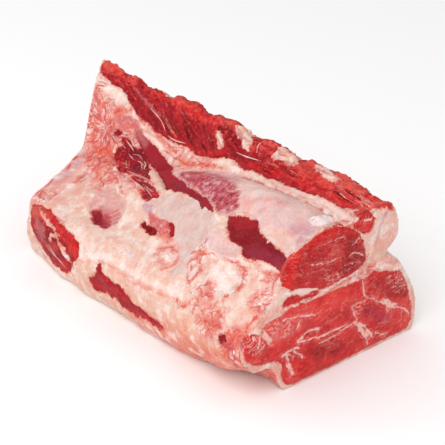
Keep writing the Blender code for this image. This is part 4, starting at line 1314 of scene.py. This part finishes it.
padBase = {  # what a pad has where it says nothing else
    "chart": "side", "step": 0.8, "rise": 2.6, "edge": 2.2, "lumps": 0.7, "lumpSize": 6, "spread": 1.0,
    "lift": 0.0, "thickness": 1.2, "tuck": 0.6, "wander": 1.1, "wanderSize": 5.0, "film": 0.5,
    "tone": "cream", "cover": 0.0, "paleRimAndGlint": 0.0, "veiny": 1.0, "gloss": 0.0, "mottled": 1.0,
}
sidePads = {
    "filletSkin": ([(-9, 95), (16, 103), (43, 112), (62, 112), (85, 117), (119, 119), (144, 120),
        (175, 122), (190, 121), (202, 117), (213, 111), (213, 74), (204, 71), (190, 73), (170, 74),
        (155, 82), (141, 87), (127, 84), (115, 80), (108, 76), (92, 72), (71, 79), (48, 81), (26, 81),
        (-3, 83), (-13, 89)],
        {"step": 1.3, "rise": 0.5, "edge": 1.0, "lumps": 0.2, "lumpSize": 9, "spread": 3.0, "lift": 0.5,
         "thickness": 0.9, "film": 0.8, "paleRimAndGlint": 0.5, "veiny": 0.3, "tuck": 0.0}),
    "silverSkin": ([(-8, 52), (7, 64), (22, 69), (35, 67), (46, 72), (57, 70), (67, 67), (80, 70), (92, 68),
        (112, 60), (104, 50), (100, 38), (93, 27), (98, 16), (102, 2), (98, -4), (89, -3), (86, 8),
        (80, 19), (66, 26), (53, 32), (44, 42), (34, 41), (22, 37), (10, 38), (0, 45)],
        {"step": 1.0, "rise": 0.8, "edge": 1.0, "lumps": 0.6, "lumpSize": 12, "spread": 3.0, "lift": 0.2,
         "thickness": 0.9, "film": 0.6, "paleRimAndGlint": 0.8, "tone": "silver", "cover": 0.9, "veiny": 0.1,
         "gloss": 0.3, "wander": 2.2, "tuck": 0.0}),
    "grooveFlap": ([(88, 123), (93, 128), (104, 127), (114, 126.5), (126, 129.5), (141, 129), (152, 131.5),
        (166, 133.5), (182, 133.5), (197, 134.5), (212, 131), (209, 126), (198, 125), (188, 126),
        (170, 127), (146, 126), (125, 123), (108, 121)],
        {"step": 1.0, "lumps": 0.9, "spread": 2.0, "lift": 0.3, "paleRimAndGlint": 0.5, "veiny": 0.35, "tuck": 0.0}),
    "lumpStrip": ([(-53, 71), (-48, 76), (-38, 75.5), (-31, 73.5), (-20, 70.5), (-10, 67), (-5, 63),
        (-10, 58.5), (-18, 58.5), (-24, 62), (-33, 65), (-40, 67), (-47, 68)],
        {"step": 0.9, "lumps": 1.0, "spread": 1.5, "film": 0.4, "cover": 0.8, "veiny": 0.3}),
    "peakLump": ([(-177, 123), (-168, 131), (-150, 132), (-136, 128), (-134, 118), (-150, 116),
        (-166, 117)],
        {"step": 1.1, "rise": 1.8, "edge": 2.5, "lumps": 1.2, "lumpSize": 7, "spread": 1.5, "film": 0.1,
         "tone": "white", "cover": 0.5}),
    "knob": ([(19, 34), (21, 38), (27, 40), (34, 40), (38, 36), (45, 33), (44, 28), (40, 26), (33, 26),
        (27, 27), (22, 29)],
        {"edge": 3.0, "tone": "blush", "cover": 0.7, "veiny": 0.6}),
    # the nub's pure white is white gristle pushed up to painted highlight
    "whiteNub": ([(187, 112), (188, 118), (193, 121), (199, 120), (206, 116), (210, 110), (206, 104.5),
        (197, 104), (190, 106.5)],
        {"rise": 9.0, "edge": 5.0, "spread": 2.5, "film": 1.0, "tone": "gristleAndGlint", "cover": 1.0,
         "veiny": 0.0, "gloss": 0.6, "mottled": 0.0}),
    "whiteNubSmall": ([(195, 121), (197, 125), (204, 124), (209, 119), (203, 117)],
        {"rise": 2.4, "edge": 2.0, "lumps": 0.4, "lumpSize": 4, "film": 0.8, "tone": "white", "cover": 0.8,
         "veiny": 0.0}),
    "bluishLump": ([(-19, 38), (-17, 42), (-9, 43.5), (-2, 43), (5, 41), (3, 38), (-4, 37), (-6, 34),
        (-13, 34)],
        {"step": 0.9, "rise": 1.8, "lumps": 1.0, "lumpSize": 5, "wander": 1.8, "tone": "bluish",
         "cover": 0.5}),
    "rimCurl": ([(205, 43), (207, 48), (211, 51), (214, 46), (215.5, 40), (214, 35), (210, 34), (207, 38)],
        {"edge": 2.5, "lumps": 0.6, "lumpSize": 5, "cover": 0.8, "veiny": 0.3}),
    "strap": ([(-54, 106), (-48, 108), (-39, 106), (-30, 103), (-21, 99.5), (-18, 97), (-30, 97), (-39, 97),
        (-47, 101), (-53, 103)],
        {"rise": 1.3, "edge": 1.5, "lumps": 0.4, "lumpSize": 5, "chart": "near", "thickness": 1.0,
         "film": 0.6, "tone": "white", "cover": 0.7, "tuck": 0.5, "veiny": 0.1}),
}


print("camera, light and floor")
makeView()
makeStudio()
print("body")
surface = surfaceFinish()
cut = cutFinish()
meat = makeBody(surface)
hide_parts("shortloin")
print("  triangles", sum(len(p.vertices) - 2 for p in meat.data.polygons))
print("cut muscles")
skin = BVHTree.FromObject(meat, bpy.context.evaluated_depsgraph_get())
for name, (end, outline, spec) in cutMuscles.items():
    makeCutMuscle(name, outline, end, skin, cut, spec)

print("films, flaps and lumps")
for name, (outline, spec) in sidePads.items():
    makeFilm(name, outline, skin, surface, {**padBase, **spec})

print("strands")
chance = random.Random(5)
pale = threads[:]
for zone, many, spec in ((sideLean[1][2], 8, paleShort), (sideLean[3][2], 3, paleShort),
                         (sideLean[6][2], 6, paleLong), (wallEnd, 14, paleEnd)):
    pale += strayStrands(chance, many, zone, spec)
makeStrands("paleStrands", pale, layOn(skin, "side", 0.5, 0.2), surface,
            {"ring": 2.5, "flat": 0.6, "lean": False})
makeStrands("flankFibres", strayStrands(chance, 40, wallLean, wallStrands), layOn(skin, "side", 1.0, 0.0),
            surface, {"ring": 2.5, "flat": 0.42, "lean": True})

print("finished")
